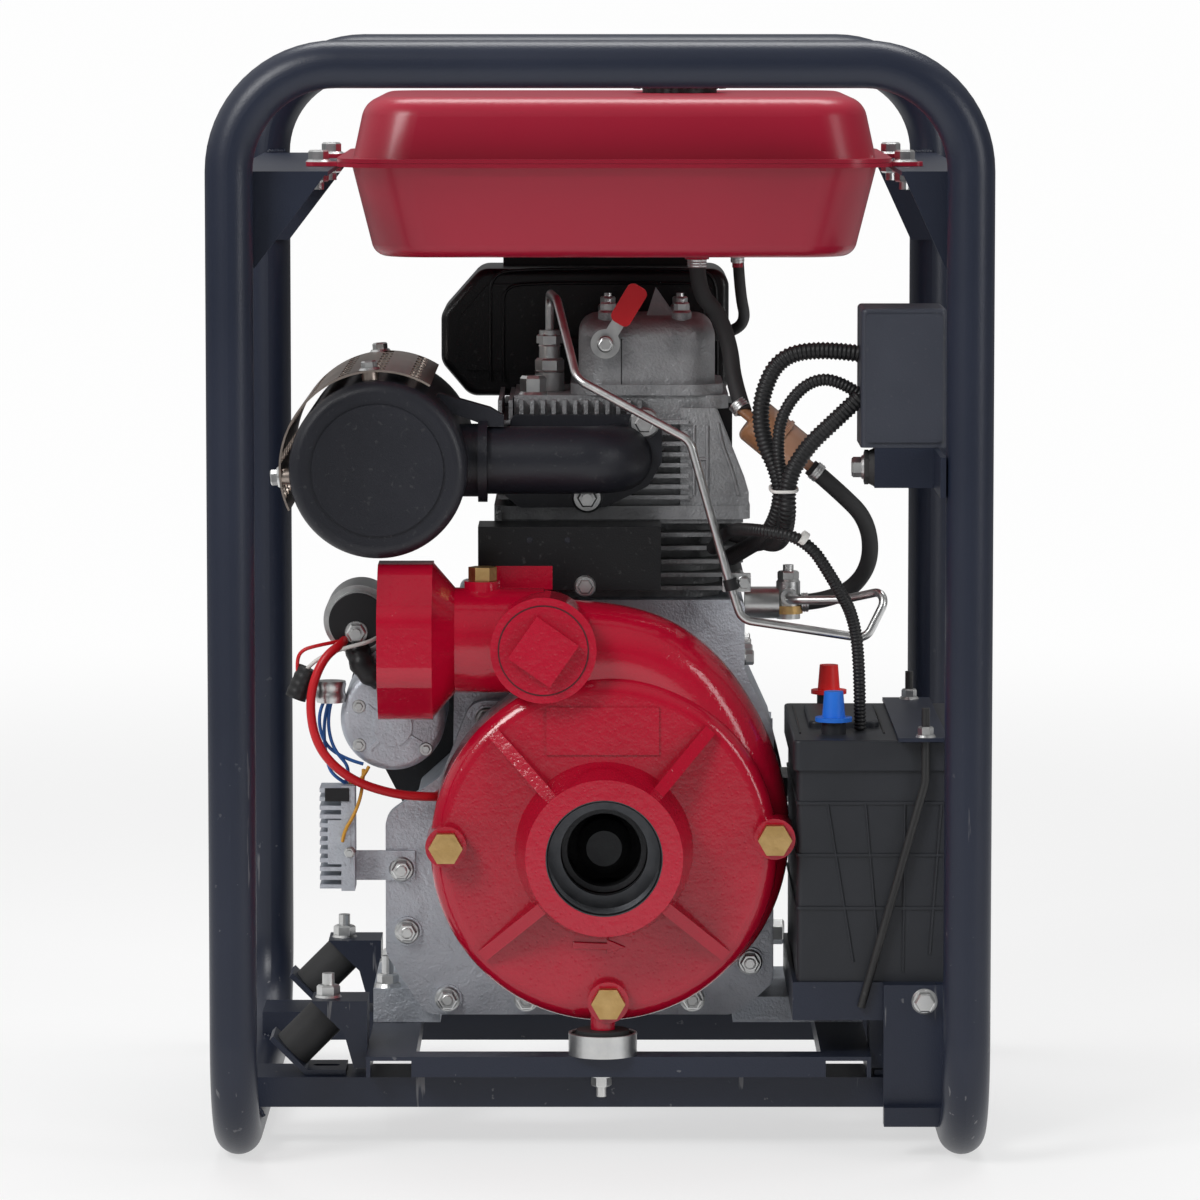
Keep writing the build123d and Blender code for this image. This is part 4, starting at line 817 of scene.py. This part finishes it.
def tubes(name, routes, radius, finish, pitch=8.0, depth=0.0):
    """Tubes along smooth lines whose control points are given in millimetres."""
    line = bpy.data.curves.new(name, "CURVE")
    line.dimensions = "3D"
    for route in routes:
        spline = line.splines.new("NURBS")
        spline.points.add(len(route) - 1)
        for point, place in zip(spline.points, route):
            point.co = (place[0] / 1000, place[1] / 1000, place[2] / 1000, 1)
        spline.order_u = 3
        spline.use_endpoint_u = True
        spline.resolution_u = 10
    piece = bpy.data.objects.new(name + "_line", line)
    bpy.context.scene.collection.objects.link(piece)
    shape = piece.modifiers.new("tube", "NODES")
    shape.node_group = tube_tree
    values = {
        "Radius": radius / 1000,
        "Ring Pitch": pitch / 1000,
        "Ring Depth": depth,
        "Finish": finish,
    }
    for socket in tube_tree.interface.items_tree:
        if socket.in_out == "INPUT" and socket.name in values:
            shape[socket.identifier] = values[socket.name]
    graph = bpy.context.evaluated_depsgraph_get()
    mesh = bpy.data.meshes.new_from_object(
        piece.evaluated_get(graph), preserve_all_data_layers=True, depsgraph=graph
    )
    bpy.data.objects.remove(piece)
    tube = bpy.data.objects.new(name, mesh)
    bpy.context.scene.collection.objects.link(tube)
    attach(tube, "unit")
    return tube


thick_looms = [
    [
        (189, -150, 581), (160, -150, 585), (130, -148, 578), (117, -146, 548), (118, -145, 520),
        (131, -146, 492), (133, -146, 470), (124, -130, 446), (112, -90, 436), (98, -58.5, 424),
    ],
    [
        (189, -174, 551), (170, -174, 533), (150, -172, 514), (136, -170, 490), (137, -168, 462),
        (132, -140, 440), (118, -100, 440), (98, -58.5, 442),
    ],
]
looms = tubes("corrugated_looms", thick_looms, 6.0, black_plastic, 3.2, 0.10)
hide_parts("wiring_looms")
thin_looms = [
    [
        (189, -162, 552), (172, -162, 564), (150, -162, 561), (132, -160, 538), (129, -158, 510),
        (134, -156, 486), (136, -154, 466), (130, -130, 446), (118, -90, 434), (105, -58.5, 433),
    ],
    [
        (84, -58.5, 430), (92, -100, 448), (112, -178, 455), (150, -184, 449), (172, -172, 414),
        (187, -150, 386), (191, -142, 340), (191, -140, 304),
    ],
]
tubes("thin_looms", thin_looms, 4.3, black_plastic, 2.8, 0.11)
cable_route = [
    (-190, -84.2, 364), (-190, -97, 364), (-206, -104, 352), (-216, -106, 322), (-210, -106, 286),
    (-186, -104, 262), (-152, -98, 250), (-124, -94, 248), (-120, -88, 248), (-120, -78.2, 248),
]
grip_red = moulded_plastic("grip_red", (0.50, 0.008, 0.014, 1), (0.62, 0.012, 0.02, 1), 0.28)
dress(grip_red, "lever_grip", "starter_cable")
cable = tubes("starter_cable_run", [cable_route], 3.4, grip_red)
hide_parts("starter_cable")
lead_blue = moulded_plastic("lead_blue", (0.02, 0.10, 0.36, 1), (0.04, 0.16, 0.46, 1), 0.35)
blue_routes = [
    [(-203, -84, 322), (-210, -90, 312), (-206, -92, 288), (-190, -90, 276), (-176, -88.4, 272)],
    [(-201, -84, 320), (-206, -92, 306), (-203, -94, 272), (-196, -94, 262), (-188, -90, 257.5)],
    [(-199, -84, 321), (-203, -90, 308), (-199, -92, 284), (-184, -91, 268), (-190, -86, 257.5)],
]
tubes("blue_leads", blue_routes, 1.3, lead_blue)
lead_yellow = moulded_plastic("lead_yellow", (0.62, 0.30, 0.03, 1), (0.78, 0.42, 0.06, 1), 0.35)
yellow_routes = [
    [(-176, -88.4, 268), (-176, -96, 254), (-182, -106, 236), (-190, -108, 224), (-191, -104, 216)],
    [(-172, -88.4, 270), (-176, -94, 262), (-184, -92, 258), (-186, -88, 257.5)],
]
tubes("yellow_leads", yellow_routes, 1.3, lead_yellow)
lead_white = moulded_plastic("lead_white", (0.66, 0.65, 0.62, 1), (0.8, 0.79, 0.76, 1), 0.35)
white_route = [
    (-166, -84.2, 366), (-170, -94, 364), (-188, -98, 360), (-206, -98, 354), (-219, -96, 343),
    (-221, -94, 338),
]
tubes("white_lead", [white_route], 1.5, lead_white)
red_route = [(-194, -92, 364), (-208, -98, 362), (-222, -98, 358), (-225, -96, 348), (-224, -94, 338)]
tubes("red_lead", [red_route], 1.4, grip_red)
fuse_line = [(-216, -94, 344), (-222, -94, 332), (-226, -94, 322)]
tubes("fuse_holder", [fuse_line], 8.0, black_plastic, 6, 0.03)
relay_line = [(-200, -86, 334), (-200, -86, 318)]
tubes("starter_relay", [relay_line], 11.0, zinc, 9, 0.04)
boot_line = [(-180, -82, 357), (-179, -90, 350), (-172, -91, 340), (-164, -88, 336)]
tubes("terminal_boot", [boot_line], 9.0, black_plastic, 10, 0.08)
tie_ring = [
    (133, -138, 484), (125, -139, 484), (124, -158, 483), (125, -179, 482), (133, -180, 482),
    (143, -179, 482), (144, -158, 483), (142, -139, 484), (133, -138, 484),
]
tubes("loom_tie", [tie_ring], 1.2, lead_white, 3)
thin_tie = [(146, -183.4, 450), (149.4, -182.6, 447.5)]
tubes("thin_loom_tie", [thin_tie], 5.4, lead_white, 1.5)


# Fuel hoses and pipe clips: rubber hoses run from the tank through the filter to the injection
# pump and from the injector back to the tank, each end under a plated clamp. A banded clip on a
# post holds the steel injection pipe.
supply_run = [
    (72, -60, 650), (72, -58, 622), (88, -52, 606), (97, -56, 580), (99, -68, 556), (106.5, -82, 534),
]
pump_run = [
    (156, -82, 493), (176, -82, 476), (200, -76, 452), (202, -60, 415), (178, -42, 390),
    (150.2, -40, 388),
]
hoses = tubes("fuel_hose_runs", [supply_run, pump_run], 6.2, rubber, 6)
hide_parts("fuel_hoses")
return_run = [
    (104, 30, 650), (106, 40, 616), (112, 72, 592), (96, 88, 582), (60, 88, 578), (-10, 88, 576),
    (-40, 84, 576), (-38, 46, 576), (-38, 12.2, 576),
]
tubes("fuel_return_run", [return_run], 4.4, rubber, 6)
hose_ends = [
    [(72, -60, 646), (72, -60, 640)],
    [(158.6, -82, 491), (163, -81.9, 487.4)],
    [(101.5, -79, 540), (105.5, -81.4, 535.3)],
    [(156, -40, 388.2), (151, -40, 388)],
]
tubes("hose_clamps", hose_ends, 7.2, zinc, 2.0, 0.03)
return_end = [(104, 30, 646), (104, 31, 640)]
tubes("return_hose_clamp", [return_end], 5.2, zinc, 2.0, 0.03)
collar = [(9.1, 0), (11, 0), (11, 6), (9.1, 6)]
turned_lining("pump_union_collar", (141, -40, 380), up, collar, brass)
tubes("pipe_clip_post", [[(104, -58, 411), (104, -123, 411)]], 3.5, zinc, 20)
clip_corners = [(90, 404), (111, 404), (111, 418), (90, 418)]
raised_outline("pipe_clip_plate", clip_corners, -123.0, 2.4, zinc)
clip_band = [(95.2, -130, 414), (97.4, -130, 406)]
tubes("pipe_clip_band", [clip_band], 5.2, black_plastic, 4)
screws("pipe_clip_bolt", [(Vector((0.106, -0.1254, 0.411)), Vector(front))], 8, 3.5, 5)


# Raised lines: ridges and seams that stand a little proud of the battery, the head, the fan
# housing, both sides of the air cleaner, the crankcase and the fuel cap; on the rocker cover a thin
# dark strip is painted shade for its parting groove.
def along_face(corners, y):
    """Control points on an upright face that looks to the front or the back."""
    return [(x, y, z) for x, z in corners]


battery_lines = [
    [(165.6, 256), (184.5, 140.4)],
    [(193.1, 256), (203.3, 141.5)],
    [(221.7, 256), (220.6, 133.3)],
    [(248, 256), (240, 146.2)],
]
battery_ridges = [along_face(line, -200.4) for line in battery_lines]
tubes("battery_case_ridges", battery_ridges, 0.9, charcoal, 20)
lid_lines = [[(x, -160, 303.3), (x, 20, 303.3)] for x in (208, 146.5)]
tubes("battery_lid_seams", lid_lines, 0.8, black_plastic, 20)
panel_lines = [
    [(-84, 546), (-84, 600), (-84, 628), (-58, 632), (60, 632), (88, 630), (90, 600), (90, 550)],
    [(-74, 546), (-74, 596), (-74, 618), (-52, 621), (56, 621), (78, 620), (80, 596), (80, 550)],
]
pressed_lines = [along_face(line, 97) for line in panel_lines]
tubes("air_cleaner_pressing", pressed_lines, 1.3, sheet)
head_lines = [
    [(70, 522), (70, 470)],
    [(80, 522), (80, 470)],
    [(88, 524), (90, 510), (99, 488), (103, 470)],
    [(70, 497), (80, 497)],
]
head_ridges = [along_face(line, -56) for line in head_lines]
tubes("head_ridges", head_ridges, 1.5, casting)
# Painted shade: a thin dark strip down the rocker cover stands for the shade in its parting groove.
groove_shade_line = along_face([(16, 548), (16, 586)], -45.4)
tubes("cover_groove_shade", [groove_shade_line], 0.45, iron)
duct_lines = [
    [(-38, 392), (-38, 470), (-38, 492), (-20, 494), (50, 494), (68, 492), (68, 470), (68, 392)],
    [(-26, 392), (-26, 462), (-26, 480), (-12, 482), (42, 482), (56, 480), (56, 462), (56, 392)],
]
duct_pressing = [along_face(line, 205) for line in duct_lines]
tubes("fan_duct_pressing", duct_pressing, 1.6, sheet)
rear_panel_line = [
    (-96, 556), (-96, 600), (-90, 622), (-60, 628), (50, 628), (80, 622), (84, 600), (84, 556),
    (70, 548), (-84, 548), (-96, 556),
]
rear_panel = along_face(rear_panel_line, 206)
tubes("air_cleaner_back_pressing", [rear_panel], 1.6, sheet)
left_wall, right_wall = -139, 130
side_ribs = [[(left_wall, y, 106), (left_wall, y, 226)] for y in (-34, -4, 26, 56, 86)]
side_ribs += [[(left_wall, -56, 166), (left_wall, 106, 166)]]
side_ribs += [[(right_wall, y, 106), (right_wall, y, 290)] for y in (52, 96)]
tubes("crankcase_side_ribs", side_ribs, 2.2, pale_casting)
cap_x, cap_y, cap_edge, cap_top, rib_count = 60, 20, 33.6, 792, 30
cap_ribs = []
for step in range(rib_count):
    turn = 2 * math.pi * step / rib_count
    rib_x, rib_y = cap_x + cap_edge * math.cos(turn), cap_y + cap_edge * math.sin(turn)
    cap_ribs.append([(rib_x, rib_y, 771), (rib_x, rib_y, 787)])
tubes("fuel_cap_ribs", cap_ribs, 1.3, black_plastic, 16)
cap_rings = []
for radius in (13, 24):
    turns = [math.pi * step / 8 for step in range(17)]
    cap_rings.append(
        [(cap_x + radius * math.cos(turn), cap_y + radius * math.sin(turn), cap_top) for turn in turns]
    )
tubes("fuel_cap_rings", cap_rings, 0.9, black_plastic, 4)


# Back and sides: screws round the fan cover and on its housing, the air cleaner's nut, and the
# crankcase's drain plugs, filler cap and upper screws.
behind, far_left, far_right = 400, -400, 400
cover_ring = 113
ring_places = []
for turn in (30, 90, 150, 210, 270, 330):
    out, rise = math.cos(math.radians(turn)), math.sin(math.radians(turn))
    ring_places.append((pump_x + cover_ring * out, behind, pump_z + cover_ring * rise))
screws("fan_cover_screws", seats("fan_housing", ring_places, back), 8, 4, 6.2)
housing_places = [(-55, 505), (86, 505), (-55, 378), (86, 378), (-164, 318)]
housing_seats = seats("fan_housing", along_face(housing_places, behind), back)
screws("fan_housing_bolts", housing_seats, 10, 6, 7.6)
nut_seat = seats("air_cleaner", [(-11, behind, 588)], back)
screws("air_cleaner_nut", nut_seat, 13, 8, 13, plate=2, stud=3.5, reach=9)
drain_seats = seats("crankcase", [(far_left, 11, 126)], left)
drain_seats += seats("crankcase", [(far_right, 74, 122)], right)
screws("oil_drain_plugs", drain_seats, 17, 9, 13, plate=3)
filler_seat = seats("crankcase", [(far_right, 74, 236)], right)
screws("oil_filler_cap", filler_seat, 24, 12, 16, plate=4, finish=black_plastic)
side_seats = seats("crankcase", [(far_right, y, 346) for y in (-34, 10, 54, 92)], right)
screws("crankcase_top_screws", side_seats, 10, 6, 7.4)


# Welds: rippled beads where the cross rails sit on the skids and where the tank's shelves meet
# the hoops, under the frame's own paint.
rail_curve = [(247, 23), (249, 28), (254, 31.5), (262, 34)]
shelf_curve, shelf_top = [(263, 257.4), (256, 258.6), (250, 262.5)], 717.4
beads = []
for side in (-1, 1):
    for edge in (-180.5, -119.5, 119.5, 180.5):
        beads.append([(side * x, edge, z) for x, z in rail_curve])
    for end in (-1, 1):
        beads.append([(side * x, end * y, shelf_top) for x, y in shelf_curve])
tubes("weld_beads", beads, 2.0, frame_coat, 2.5, 0.12)


# Steel and amber: the injection pipe and fittings are bright steel, and the fuel filter's bowl
# is amber plastic that lets some light through, with a glow painted into its colour.
dress(zinc, "injection_pipe", "injection_fittings", "starter_solenoid", "decompression_lever")


def amber_bowl():
    amber, place = new_finish(
        "amber_bowl", Transmission_Weight=0.2, Coat_Weight=0.3, Coat_Roughness=0.1
    )
    drift = speckle(place, 30.0, 3.0)
    along = place.node("ShaderNodeSeparateXYZ", {0: place}, 0)
    # Painted glow: the colour grows lighter towards the bowl's far end, and a pale band near its seam
    # is painted glow too.
    far = along.over(0.118, 0.150)
    colour = (0.3 * drift + far * 0.7).shade((0.34, 0.15, 0.06, 1), (0.62, 0.36, 0.25, 1))
    glow_band = along.over(0.128, 0.131) * (1.0 - along.over(0.134, 0.138))
    colour = (glow_band * 0.5).shade(colour, (0.75, 0.55, 0.42, 1))
    return lay_on(amber, colour, 0.2 + 0.1 * drift, relief=[(0.0002, speckle(place, 120.0))])


bowl = amber_bowl()
dress(bowl, "fuel_filter")
filter_line = Vector((58, 0, -48)).normalized()
seam = [(16.9, -1.6), (18.2, -1.2), (18.2, 1.2), (16.9, 1.6)]
turned_lining("filter_seam", (132, -82, 513), filter_line, seam, bowl)
